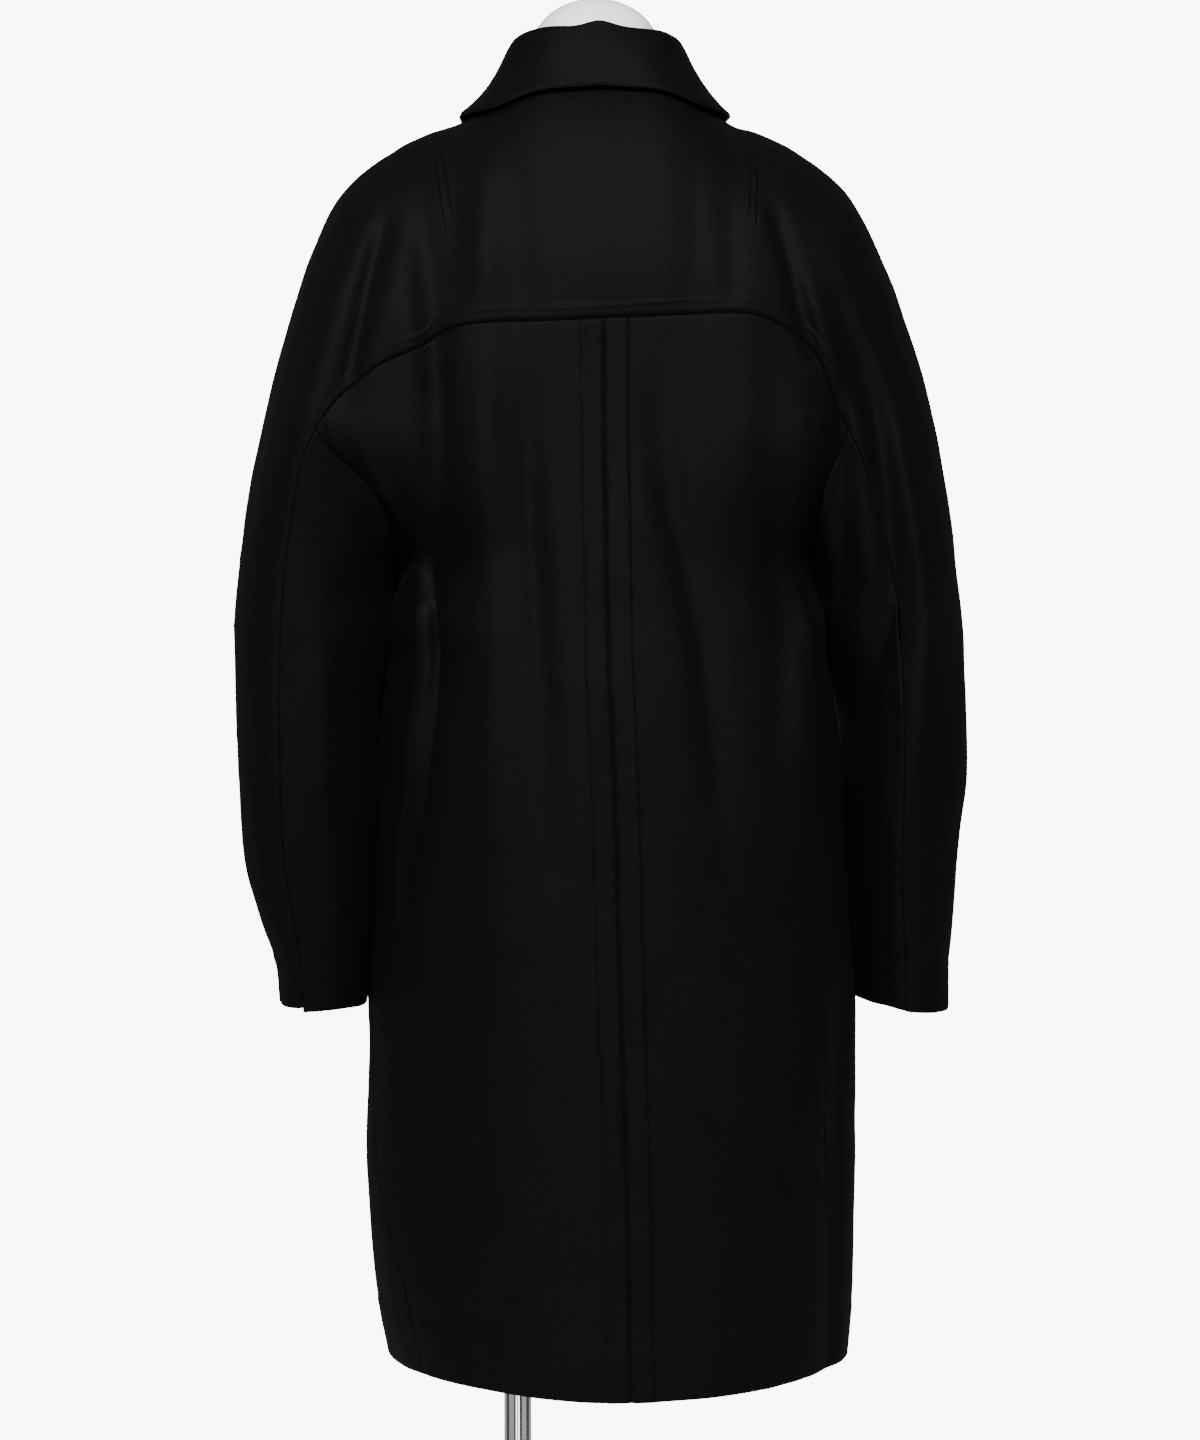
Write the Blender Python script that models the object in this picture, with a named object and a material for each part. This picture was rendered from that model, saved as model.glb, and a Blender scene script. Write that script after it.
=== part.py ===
"""Cocoon coat worn by a limbless dress form on a pole and base plate.

Metres, +Z up, front towards -Y, the wearer's left towards +X. The origin is on the floor, under the base plate.

The coat is cut as the real one is: a back yoke in one piece with the back of both sleeves, two front yokes in one
piece with the front of each sleeve, two under sleeves, two backs, two fronts, a collar on a stand, and buttons.
Every cloth piece is a wall whose outer surface comes from the same few sizes, so that neighbours meet at seams.
"""

import bisect
import math
from collections import namedtuple

import bpy
import numpy as np

# Cloth, seams and closure
CLOTH = 0.0022
COLLAR_CLOTH = 0.0030
HALF_SEAM = 0.00020
SEAM_REACH = 0.0008
UNDERLAP_DEPTH = 0.0032
WRAP = 0.030
BUTTON_HEIGHTS = (1.295, 1.155, 1.015, 0.875)
BUTTON_RADIUS = 0.0140
BUTTON_THICK = 0.0042

# Heights of the coat
HEM_Z = 0.410
UNDERARM_Z = 1.030
ARMHOLE_TOP_Z = 1.158
LAST_STATION = 17
ARMHOLE_STATION = 8

# Where an armhole cuts the body's ring at its top
ARMHOLE_END_ANGLE = math.radians(48)

# Rows of a yoke, from the seam at 0 to the neckline or the shoulder at 1
YOKE_TURNS = (0, 0.16, 0.31, 0.46, 0.60, 0.73, 0.85, 0.94, 1)

# Neckline, as an ellipse seen from above
NECK_MID_Y = -0.014
NECK_HALF_X = 0.076
NECK_HALF_Y = 0.066
FRONT_NECK_DROP = 0.067
FRONT_NECK_REACH = 0.100

# A station along the shoulder and sleeve: the coat's edge seen from behind, and the seam that runs down the back
Station = namedtuple("Station", "edge_x edge_z seam_x seam_z")
LEFT_STATIONS = (
    Station(0.000, 1.452, 0.000, 1.243),
    Station(0.045, 1.448, 0.045, 1.241),
    Station(0.083, 1.417, 0.083, 1.240),
    Station(0.106, 1.3968, 0.106, 1.238),
    Station(0.132, 1.3883, 0.124, 1.232),
    Station(0.160, 1.3740, 0.137, 1.222),
    Station(0.199, 1.3435, 0.172, 1.207),
    Station(0.2275, 1.286, 0.203, 1.182),
    Station(0.247, 1.225, 0.220, 1.158),
    Station(0.2615, 1.168, 0.230, 1.136),
    Station(0.2740, 1.110, 0.237, 1.100),
    Station(0.2855, 1.029, 0.246, 1.030),
    Station(0.2875, 0.965, 0.249, 0.965),
    Station(0.2855, 0.889, 0.249, 0.889),
    Station(0.2805, 0.815, 0.246, 0.815),
    Station(0.2675, 0.764, 0.238, 0.764),
    Station(0.2555, 0.728, 0.234, 0.728),
    Station(0.2530, 0.700, 0.233, 0.702),
)
RIGHT_STATIONS = (
    Station(0.000, 1.452, 0.000, 1.243),
    Station(0.045, 1.448, 0.045, 1.245),
    Station(0.083, 1.417, 0.083, 1.247),
    Station(0.106, 1.3968, 0.106, 1.247),
    Station(0.130, 1.3888, 0.122, 1.244),
    Station(0.160, 1.3735, 0.138, 1.237),
    Station(0.199, 1.3420, 0.157, 1.225),
    Station(0.2290, 1.286, 0.172, 1.200),
    Station(0.2520, 1.225, 0.188, 1.158),
    Station(0.2685, 1.168, 0.203, 1.132),
    Station(0.2790, 1.110, 0.215, 1.098),
    Station(0.2900, 1.029, 0.229, 1.030),
    Station(0.2950, 0.965, 0.234, 0.965),
    Station(0.2985, 0.889, 0.236, 0.889),
    Station(0.2930, 0.825, 0.237, 0.825),
    Station(0.2890, 0.768, 0.240, 0.768),
    Station(0.2850, 0.728, 0.243, 0.730),
    Station(0.2845, 0.691, 0.245, 0.695),
)

# A level of the sleeves: depth of the seams at back and front, and each sleeve's innermost place
SleeveLevel = namedtuple("SleeveLevel", "z back front left_middle right_middle left_inner right_inner")
SLEEVE_LEVELS = (
    SleeveLevel(0.690, 0.035, -0.081, -0.010, -0.034, 0.1870, 0.2110),
    SleeveLevel(0.740, 0.045, -0.090, 0.000, -0.042, 0.1835, 0.2065),
    SleeveLevel(0.800, 0.061, -0.102, 0.010, -0.048, 0.1800, 0.2020),
    SleeveLevel(0.870, 0.076, -0.110, 0.018, -0.052, 0.1765, 0.1985),
    SleeveLevel(0.950, 0.086, -0.114, 0.018, -0.048, 0.1735, 0.1930),
    SleeveLevel(0.980, 0.088, -0.115, 0.018, -0.036, 0.1690, 0.1840),
    SleeveLevel(1.000, 0.090, -0.115, 0.011, -0.022, 0.1655, 0.1795),
    SleeveLevel(1.030, 0.092, -0.114, -0.004, -0.004, 0.1600, 0.1740),
    SleeveLevel(1.080, 0.097, -0.113, -0.004, -0.004, 0.1400, 0.1560),
    SleeveLevel(1.120, 0.101, -0.114, -0.004, -0.004, 0.1250, 0.1380),
    SleeveLevel(1.158, 0.105, -0.116, -0.004, -0.004, 0.1150, 0.1280),
)

# A level of the body: its middle, how far it reaches to each side, back and front, the depth at which each side is
# widest, the angle of each side seam, and the roundness of the ring (2 is an ellipse)
BodyLevel = namedtuple(
    "BodyLevel", "z middle_x left right back front left_middle right_middle left_seam right_seam roundness"
)
BODY_LEVELS = (
    BodyLevel(0.410, -0.019, 0.1660, 0.2020, 0.150, -0.150, -0.010, 0.000, 58, 66, 2.05),
    BodyLevel(0.480, -0.018, 0.1775, 0.2070, 0.151, -0.152, -0.014, 0.002, 61, 61, 2.10),
    BodyLevel(0.570, -0.016, 0.1825, 0.2080, 0.151, -0.153, -0.020, 0.004, 73, 56, 2.15),
    BodyLevel(0.690, -0.0125, 0.1800, 0.2070, 0.150, -0.153, -0.034, 0.008, 80, 55, 2.20),
    BodyLevel(0.770, -0.010, 0.1790, 0.1990, 0.148, -0.152, -0.042, 0.010, 76, 58, 2.30),
    BodyLevel(0.850, -0.008, 0.1770, 0.1945, 0.146, -0.151, -0.046, 0.012, 72, 62, 2.40),
    BodyLevel(0.930, -0.005, 0.1740, 0.1880, 0.143, -0.150, -0.044, 0.012, 72, 68, 2.40),
    BodyLevel(0.980, -0.003, 0.1650, 0.1790, 0.140, -0.149, -0.034, 0.010, 78, 78, 2.40),
    BodyLevel(1.000, -0.0025, 0.1620, 0.1765, 0.138, -0.1485, -0.021, 0.004, 84, 84, 2.40),
    BodyLevel(1.030, -0.002, 0.1600, 0.1740, 0.136, -0.148, -0.004, -0.004, 90, 90, 2.40),
    BodyLevel(1.100, -0.001, 0.1600, 0.1740, 0.130, -0.146, -0.004, -0.004, 90, 90, 2.40),
    BodyLevel(1.170, 0.000, 0.1600, 0.1740, 0.123, -0.142, -0.004, -0.004, 90, 90, 2.40),
    BodyLevel(1.243, 0.000, 0.1600, 0.1740, 0.119, -0.138, -0.004, -0.004, 90, 90, 2.40),
)
HEM_RISE = 0.0065

# A fold is a soft ridge or trough that runs down the cloth: its line by three points, half width and height
Fold = namedtuple("Fold", "top_x top_z middle_x middle_z low_x low_z half_width height")
BACK_FOLDS = (
    Fold(0.121, 1.330, 0.126, 1.080, 0.150, 0.640, 0.020, -0.024),
    Fold(0.164, 1.090, 0.150, 0.960, 0.178, 0.660, 0.012, 0.008),
    Fold(0.102, 1.290, 0.094, 1.080, 0.085, 0.700, 0.018, 0.007),
    Fold(0.050, 1.340, 0.046, 1.120, 0.040, 0.760, 0.018, -0.008),
    Fold(-0.061, 1.340, -0.064, 1.090, -0.118, 0.720, 0.018, -0.009),
    Fold(-0.112, 1.340, -0.128, 1.060, -0.150, 0.700, 0.026, 0.008),
    Fold(-0.226, 1.240, -0.228, 1.020, -0.214, 0.740, 0.015, -0.014),
)
FRONT_FOLDS = (
    Fold(0.118, 1.330, 0.130, 1.060, 0.150, 0.680, 0.020, 0.020),
    Fold(0.080, 1.250, 0.086, 0.980, 0.092, 0.560, 0.020, -0.006),
    Fold(-0.116, 1.330, -0.132, 1.060, -0.160, 0.680, 0.020, 0.020),
    Fold(-0.076, 1.250, -0.090, 0.960, -0.104, 0.540, 0.022, -0.007),
)
FOLD_FADE_DEPTH = 0.060

# Collar: its fold line above the stand, and the outer edge that lies on the shoulders
FoldLine = namedtuple("FoldLine", "angle half_x half_y z")
COLLAR_FOLD = (
    FoldLine(0, 0.0690, 0.0640, 1.4690),
    FoldLine(30, 0.0690, 0.0640, 1.4685),
    FoldLine(60, 0.0695, 0.0650, 1.4625),
    FoldLine(90, 0.0695, 0.0650, 1.4470),
    FoldLine(120, 0.0690, 0.0650, 1.4240),
    FoldLine(150, 0.0700, 0.0655, 1.3960),
    FoldLine(178, 0.0700, 0.0660, 1.3790),
)
EdgePoint = namedtuple("EdgePoint", "angle x y lift")
COLLAR_EDGE = (
    EdgePoint(0, 0.000, 0.0640, 0.0060),
    EdgePoint(30, 0.046, 0.0640, 0.0060),
    EdgePoint(60, 0.087, 0.0450, 0.0055),
    EdgePoint(90, 0.1065, 0.0000, 0.0045),
    EdgePoint(120, 0.104, -0.0480, 0.0045),
    EdgePoint(150, 0.086, -0.0900, 0.0050),
    EdgePoint(178, 0.054, -0.1200, 0.0070),
)
COLLAR_EASE = 0.004
COLLAR_PEAK = 0.005
COLLAR_PEAK_WIDTH = 0.20
STAND_INSET = 0.0023
ROLL_RADIUS = 0.0034

# Dress form, pole and base
FormLevel = namedtuple("FormLevel", "z half_width back front middle_y")
FORM_LEVELS = (
    FormLevel(0.735, 0.125, 0.092, -0.088, 0.000),
    FormLevel(0.740, 0.133, 0.099, -0.095, 0.000),
    FormLevel(0.790, 0.143, 0.110, -0.100, 0.002),
    FormLevel(0.870, 0.146, 0.113, -0.098, 0.003),
    FormLevel(0.950, 0.128, 0.096, -0.092, 0.000),
    FormLevel(1.020, 0.116, 0.083, -0.088, -0.004),
    FormLevel(1.090, 0.122, 0.086, -0.098, -0.006),
    FormLevel(1.160, 0.132, 0.088, -0.118, -0.008),
    FormLevel(1.210, 0.138, 0.088, -0.118, -0.008),
    FormLevel(1.260, 0.146, 0.086, -0.098, -0.008),
    FormLevel(1.300, 0.156, 0.080, -0.084, -0.009),
    FormLevel(1.330, 0.162, 0.068, -0.072, -0.010),
)
FORM_SHOULDER_X = (0.142, 0.134, 0.125, 0.113, 0.100)
FORM_SEAT_GAP = 0.00060
FORM_SHOULDER_DEPTHS = (0.044, 0.038, 0.034, 0.031, 0.029)
NeckLevel = namedtuple("NeckLevel", "z half_width depth")
NECK_LEVELS = (
    NeckLevel(1.401, 0.080, 0.032),
    NeckLevel(1.410, 0.063, 0.040),
    NeckLevel(1.422, 0.053, 0.0455),
    NeckLevel(1.440, 0.050, 0.0485),
)
NECK_RADIUS = 0.050
NECK_FORM_Y = -0.012
NECK_DOME_Z = 1.456
NECK_TOP_Z = 1.495
POLE_X = 0.063
POLE_Y = -0.004
POLE_RADIUS = 0.0110
BASE_RADIUS = 0.170
BASE_THICK = 0.008
FIT_GAP = 0.0003


def curve(keys, values):
    """A smooth curve through (key, value) points, straight beyond its ends, as a function of the key."""
    keys, values = [float(k) for k in keys], [float(v) for v in values]
    slopes = [float(s) for s in np.gradient(values, keys)]

    def at(key):
        if key <= keys[0]:
            return values[0] + (key - keys[0]) * slopes[0]
        if key >= keys[-1]:
            return values[-1] + (key - keys[-1]) * slopes[-1]
        i = bisect.bisect_right(keys, key) - 1
        span = keys[i + 1] - keys[i]
        t = (key - keys[i]) / span
        start = values[i] * (2 * t**3 - 3 * t**2 + 1) + slopes[i] * span * (t**3 - 2 * t**2 + t)
        return start + values[i + 1] * (3 * t**2 - 2 * t**3) + slopes[i + 1] * span * (t**3 - t**2)

    return at


def columns(rows, key):
    """Every column of a table as a curve over its column `key`."""
    ordered = sorted(rows, key=lambda row: getattr(row, key))
    keys = [getattr(row, key) for row in ordered]
    return {name: curve(keys, [getattr(row, name) for row in ordered]) for name in rows[0]._fields if name != key}


sleeve = columns(SLEEVE_LEVELS, "z")
body = columns(BODY_LEVELS, "z")
collar_fold = columns(COLLAR_FOLD, "angle")
collar_rim = columns(COLLAR_EDGE, "angle")


def ease(t):
    """0 below 0, 1 above 1, smooth between."""
    t = min(1.0, max(0.0, t))
    return t * t * (3 - 2 * t)


def power(value, exponent):
    return math.copysign(abs(value) ** exponent, value)


def side_of(side, left, right):
    return left if side > 0 else right


def stations(side):
    return side_of(side, LEFT_STATIONS, RIGHT_STATIONS)


station_curves = {
    side: [curve(range(LAST_STATION + 1), [getattr(row, name) for row in stations(side)]) for name in Station._fields]
    for side in (1, -1)
}


def station(u):
    """Edge and seam at station u, negative on the right: (edge x, edge z, seam x, seam z)."""
    side = 1 if u >= 0 else -1
    edge_x, edge_z, seam_x, seam_z = (at(abs(u)) for at in station_curves[side])
    if abs(u) > ARMHOLE_STATION:
        seam_x = sleeve_seam_x[side](seam_z)
    return side * edge_x, edge_z, side * seam_x, seam_z


def seam_out(side):
    """How far out the back seam of a sleeve lies, as a curve of height from the cuff to the armhole."""
    rows = stations(side)[ARMHOLE_STATION:][::-1]
    return curve([row.seam_z for row in rows], [row.seam_x for row in rows])


sleeve_seam_x = {side: seam_out(side) for side in (1, -1)}
sleeve_inner_x = {1: sleeve["left_inner"], -1: sleeve["right_inner"]}
sleeve_middle = {1: sleeve["left_middle"], -1: sleeve["right_middle"]}
body_middle = {1: body["left_middle"], -1: body["right_middle"]}


def sleeve_inner(side, back, z, turn):
    """A point of the inner half of a sleeve: turn is 0 at the seam and 90 degrees at the inner edge."""
    seam_x, inner_x = sleeve_seam_x[side](z), sleeve_inner_x[side](z)
    middle, depth = sleeve_middle[side](z), sleeve["back" if back else "front"](z)
    x = seam_x + (inner_x - seam_x) * math.sin(turn)
    return side * x, middle + (depth - middle) * math.cos(turn)


def armhole_turn(z):
    """Where the armhole seam lies on the inner half of the sleeve at height z."""
    return math.pi / 2 * min(1.0, max(0.0, (ARMHOLE_TOP_Z - z) / (ARMHOLE_TOP_Z - UNDERARM_Z)))


def body_quarter(side, back, z):
    """Depth where the side is widest, reach to the side, reach in depth and end angle of a quarter of the body."""
    depth, middle_x = body["back" if back else "front"](z), body["middle_x"](z)
    if z <= UNDERARM_Z:
        reach = body[side_of(side, "left", "right")](z) - side * middle_x
        middle = body_middle[side](z)
        return middle, reach, depth - middle, math.pi / 2
    level = min(z, ARMHOLE_TOP_Z)
    turn = armhole_turn(level)
    end_x, end_y = sleeve_inner(side, back, level, turn)
    end = ARMHOLE_END_ANGLE + (math.pi / 2 - ARMHOLE_END_ANGLE) * (turn / (math.pi / 2)) ** 3
    level_depth = body["back" if back else "front"](level)
    root = 2 / body["roundness"](z)
    reach = abs(end_x - middle_x) / math.sin(end) ** root
    sag = (level_depth - end_y) / (1 - max(0.0, math.cos(end)) ** root)
    return depth - sag, reach, sag, end


def body_point(side, back, z, angle):
    """A point of the body's ring; angle is 0 at centre back or centre front, and passes 90 degrees round the side."""
    if angle > math.pi / 2:
        return body_point(side, not back, z, math.pi - angle)
    middle, reach, sag, _ = body_quarter(side, back, z)
    root = 2 / body["roundness"](z)
    x = body["middle_x"](z) + side * reach * power(math.sin(angle), root)
    return x, middle + sag * max(0.0, math.cos(angle)) ** root


def body_depth(side, back, x, z):
    """Depth of the body's back or front at a point seen from behind, and its angle on the ring."""
    middle, reach, sag, _ = body_quarter(side, back, z)
    roundness = body["roundness"](z)
    share = min(1.0, abs(x - body["middle_x"](z)) / reach)
    angle = math.asin(share ** (roundness / 2))
    return middle + sag * math.cos(angle) ** (2 / roundness), angle


def seam_depth(u, back):
    """Depth at which the yoke and sleeve seam lies at station u."""
    side = 1 if u >= 0 else -1
    _, _, seam_x, seam_z = station(u)
    if abs(u) <= ARMHOLE_STATION:
        return body_depth(side, back, seam_x, seam_z)[0]
    return sleeve["back" if back else "front"](seam_z)


def edge_depth(edge_z):
    """Depth of the coat's edge, from the shoulder to the cuff."""
    return -0.010 - 0.013 * ease((1.05 - edge_z) / 0.35)


def front_drop(x, back):
    """How much lower the front's shoulder line runs near the neck."""
    return 0.0 if back else FRONT_NECK_DROP * (1 - ease(abs(x) / FRONT_NECK_REACH))


def fold_line_x(fold):
    return curve((fold.low_z, fold.middle_z, fold.top_z), (fold.low_x, fold.middle_x, fold.top_x))


back_folds = [(fold, fold_line_x(fold)) for fold in BACK_FOLDS]
front_folds = [(fold, fold_line_x(fold)) for fold in FRONT_FOLDS]


def fold_height(x, z, back):
    """Height of all folds of the back or front at a point seen from behind."""
    total = 0.0
    for fold, line in back_folds if back else front_folds:
        if not fold.low_z < z < fold.top_z:
            continue
        along = ease((z - fold.low_z) / (0.45 * (fold.top_z - fold.low_z)))
        along *= ease((fold.top_z - z) / (0.35 * (fold.top_z - fold.low_z)))
        total += fold.height * along * math.exp(-(((x - line(z)) / fold.half_width) ** 2))
    return total


def folded(x, y, z, back):
    """The point with the folds added, which fade out towards the coat's edges."""
    facing = ease((y if back else -y) / FOLD_FADE_DEPTH)
    return np.array((x, y + facing * fold_height(x, z, back), z))


def yoke_point(u, turn, back):
    """A point between the seam, at turn 0, and the shoulder or outer edge, at turn 90 degrees."""
    edge_x, edge_z, seam_x, seam_z = station(u)
    edge_z -= front_drop(edge_x, back)
    share = math.sin(turn)
    x = seam_x + (edge_x - seam_x) * share
    z = seam_z + (edge_z - seam_z) * share
    edge_y = edge_depth(edge_z)
    return folded(x, edge_y + (seam_depth(u, back) - edge_y) * math.cos(turn), z, back)


def neck_turn(u, back):
    """The turn at which the yoke meets the neckline, or 90 degrees beyond it."""
    edge_x, edge_z, _, _ = station(u)
    share = abs(edge_x) / NECK_HALF_X
    if share >= 1:
        return math.pi / 2
    neck_y = NECK_MID_Y + (1 if back else -1) * NECK_HALF_Y * math.sqrt(1 - share**2)
    edge_y = edge_depth(edge_z)
    part = (neck_y - edge_y) / (seam_depth(u, back) - edge_y)
    return math.acos(min(1.0, max(0.0, part)))


shoulder_stops = np.linspace(0, ARMHOLE_STATION, 401)
shoulder_reach = np.array([station(u)[0] for u in shoulder_stops])


def station_above(x):
    """The station whose edge lies at x along the shoulder."""
    return float(np.interp(x, shoulder_reach, shoulder_stops))


def shoulder_height(x, y):
    """Height of the yokes near the neck above a point of the floor."""
    u = math.copysign(station_above(abs(x)), x)
    back = y > edge_depth(1.4)
    edge_x, edge_z, _, seam_z = station(u)
    edge_z -= front_drop(edge_x, back)
    edge_y = edge_depth(edge_z)
    part = (y - edge_y) / (seam_depth(u, back) - edge_y)
    return seam_z + (edge_z - seam_z) * math.sqrt(max(0.0, 1 - part**2))


# Surfaces, each a function of two running values


def back_yoke(u, along):
    return yoke_point(u, along * neck_turn(u, True), True)


def front_yoke(side):
    def surface(outward_u, along):
        u = side * outward_u
        return yoke_point(u, along * neck_turn(u, False), False)

    return surface


def underlap(point):
    """How far the left front is set back at a point, where it runs under the right one."""
    return UNDERLAP_DEPTH * (1 - ease((point[0] - WRAP - 0.006) / 0.05))


def wrap_angle(side, z):
    """How far past centre front the front's edge lies, as an angle of the body's ring."""
    _, reach, _, _ = body_quarter(side, False, z)
    return math.asin((WRAP / reach) ** (body["roundness"](z) / 2))


def side_seam_angle(side, z):
    if z >= UNDERARM_Z:
        return math.pi / 2
    return math.radians(body[side_of(side, "left_seam", "right_seam")](z))


def panel_span(side, back, z):
    """First and last angle of a back or front on the body's ring."""
    armhole = body_quarter(side, back, z)[3]
    if back:
        return 0.0, armhole if z > UNDERARM_Z else side_seam_angle(side, z)
    return -wrap_angle(side, z), armhole if z > UNDERARM_Z else math.pi - side_seam_angle(side, z)


def station_share(side, back, u):
    """Where station u of the yoke seam falls across a back or front, from 0 to 1."""
    _, _, seam_x, seam_z = station(side * u)
    angle = math.copysign(body_depth(side, back, seam_x, seam_z)[1], u)
    first, last = panel_span(side, back, seam_z)
    return (angle - first) / (last - first)


top_heights = {}


def top_height(side, back, share):
    """Height of the yoke seam at a share of the way across a back or front."""
    place = (side, back)
    if place not in top_heights:
        stops = np.linspace(0.0 if back else -WRAP / 0.045, ARMHOLE_STATION, 161)
        shares = np.array([station_share(side, back, u) for u in stops])
        top_heights[place] = shares, np.array([station(side * u)[3] for u in stops])
    return float(np.interp(share, *top_heights[place]))


def body_panel(side, back):
    """A back or front, from its hem at along 0 to the yoke seam at along 1."""

    def surface(across, along):
        low_z = HEM_Z + HEM_RISE * ease(across if back else 1 - abs(1 - across))
        z = low_z + (top_height(side, back, across) - low_z) * along
        first, last = panel_span(side, back, z)
        x, y = body_point(side, back, z, first + across * (last - first))
        return folded(x, y, z, y > 0)

    return surface


def cuff_height(side, x):
    """Both cuffs slope a little, as the sleeves hang."""
    inner_z, outer_z, slope_start = side_of(side, (0.700, 0.698, 0.19), (0.701, 0.692, 0.21))
    return inner_z + (outer_z - inner_z) * ease((abs(x) - slope_start) / 0.06)


def under_sleeve(side):
    """From the back seam at across 0, round the inner side, to the front seam at across 1."""

    def surface(across, along):
        back = across < 0.5
        turn = math.pi * (across if back else 1 - across)
        top = ARMHOLE_TOP_Z - (ARMHOLE_TOP_Z - UNDERARM_Z) * turn / (math.pi / 2)
        seam_x, inner_x = sleeve_seam_x[side](0.7), sleeve_inner_x[side](0.7)
        low = cuff_height(side, seam_x + (inner_x - seam_x) * math.sin(turn))
        z = low + (top - low) * along
        x, y = sleeve_inner(side, back, z, turn)
        return folded(x, y, z, back)

    return surface


def neck_ellipse(angle, half_x, half_y):
    """Angle 0 is centre back and grows towards the left."""
    return half_x * math.sin(angle), NECK_MID_Y + half_y * math.cos(angle)


def collar_angle(across):
    return math.radians(178) * (1 - 2 * across)


def fold_line(angle):
    """The collar's fold: a small peak at centre back, falling to the front."""
    degrees = abs(math.degrees(angle))
    half_x, half_y, z = (collar_fold[name](degrees) for name in ("half_x", "half_y", "z"))
    x, y = neck_ellipse(angle, half_x, half_y)
    return np.array((x, y, z + COLLAR_PEAK * math.exp(-((angle / COLLAR_PEAK_WIDTH) ** 2))))


def collar_edge(angle):
    degrees = abs(math.degrees(angle))
    x, y, lift = (collar_rim[name](degrees) for name in ("x", "y", "lift"))
    x = math.copysign(x, angle)
    return np.array((x, y, shoulder_height(x, y) + lift + COLLAR_CLOTH))


def collar_stand(across, along):
    """From the neckline at along 0 up to just under the collar's fold."""
    angle = collar_angle(across)
    low_x, low_y = neck_ellipse(angle, NECK_HALF_X - STAND_INSET, NECK_HALF_Y - STAND_INSET)
    edge_x, edge_y = neck_ellipse(angle, NECK_HALF_X, NECK_HALF_Y)
    low = np.array((low_x, low_y, shoulder_height(edge_x, edge_y) - 0.001))
    high = fold_line(angle) - np.array((0, 0, ROLL_RADIUS + COLLAR_CLOTH + 0.0005))
    return low + (high - low) * along


def collar_fall(across, along):
    """The roll over the stand, then down and out to the collar's edge at along 1."""
    angle = collar_angle(across)
    top = fold_line(angle)
    edge = collar_edge(angle)
    outward = edge - top
    outward[2] = 0
    outward /= np.linalg.norm(outward)
    roll_share = 0.30
    centre = top - np.array((0, 0, ROLL_RADIUS))
    if along < roll_share:
        turn = math.radians(-70) + math.radians(160) * along / roll_share
        return centre + ROLL_RADIUS * (outward * math.sin(turn) + np.array((0, 0, math.cos(turn))))
    start = centre + ROLL_RADIUS * outward
    t = (along - roll_share) / (1 - roll_share)
    bow = -0.06 * outward * math.sin(math.pi * t) * np.linalg.norm(edge - start)
    point = start + (edge - start) * t + bow
    floor = shoulder_height(point[0], point[1]) + COLLAR_CLOTH + 0.0015 + 0.003 * (1 - t)
    above = point[2] - floor
    point[2] = floor + (above + math.sqrt(above**2 + COLLAR_EASE**2)) / 2
    return point


# Meshes


def material(name, colour, roughness, metallic=0.0):
    made = bpy.data.materials.new(name)
    made.use_nodes = True
    shader = made.node_tree.nodes["Principled BSDF"]
    shader.inputs["Base Color"].default_value = (*colour, 1)
    shader.inputs["Roughness"].default_value = roughness
    shader.inputs["Metallic"].default_value = metallic
    return made


def mesh_object(name, points, faces, surface_material):
    mesh = bpy.data.meshes.new(name)
    mesh.from_pydata([tuple(p) for p in points], [], faces)
    mesh.materials.append(surface_material)
    mesh.shade_smooth()
    mesh.set_sharp_from_angle(angle=math.radians(40))
    made = bpy.data.objects.new(name, mesh)
    bpy.context.scene.collection.objects.link(made)
    return made


def normal_at(surface, across, along, step=1e-3):
    """The surface's unit normal, from its own slopes."""
    one = surface(across + step, along) - surface(across - step, along)
    other = surface(across, along + step) - surface(across, along - step)
    normal = np.cross(one, other)
    return normal / np.linalg.norm(normal)


Cloth = namedtuple("Cloth", "name outer normals outward thick set_back surface_material")
cloths = []


def cloth(name, surface, acrosses, alongs, outward, surface_material, thick=CLOTH, set_back=None):
    """Note down a piece of cloth: the grid of its outer face and the normals there."""
    outer = np.array([[surface(a, b) for a in acrosses] for b in alongs])
    normals = outward * np.array([[normal_at(surface, a, b) for a in acrosses] for b in alongs])
    cloths.append(Cloth(name, outer, normals, outward, thick, set_back, surface_material))


def rim_places(rows, columns):
    """Row and column of every point round a grid's edge, in order."""
    round_edge = [(0, c) for c in range(columns)]
    round_edge += [(r, columns - 1) for r in range(1, rows)]
    round_edge += [(rows - 1, c) for c in range(columns - 2, -1, -1)]
    return round_edge + [(r, 0) for r in range(rows - 2, 0, -1)]


def shared_normals(piece, others):
    """The piece's normals, turned at its edges to lean the same way as the cloth sewn to it."""
    normals = piece.normals.copy()
    rims = [tuple(zip(*rim_places(*other.outer.shape[:2]))) for other in others]
    rims = [(other.outer[rows, cols], other.normals[rows, cols]) for other, (rows, cols) in zip(others, rims)]
    for place in rim_places(*piece.outer.shape[:2]):
        own = piece.normals[place]
        total = own.copy()
        for spots, leans in rims:
            gaps = np.linalg.norm(spots - piece.outer[place], axis=1)
            if gaps.min() < SEAM_REACH:
                total += leans[int(gaps.argmin())]
        total /= np.linalg.norm(total)
        normals[place] = total / max(0.6, float(np.dot(total, own)))
    return normals


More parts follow.
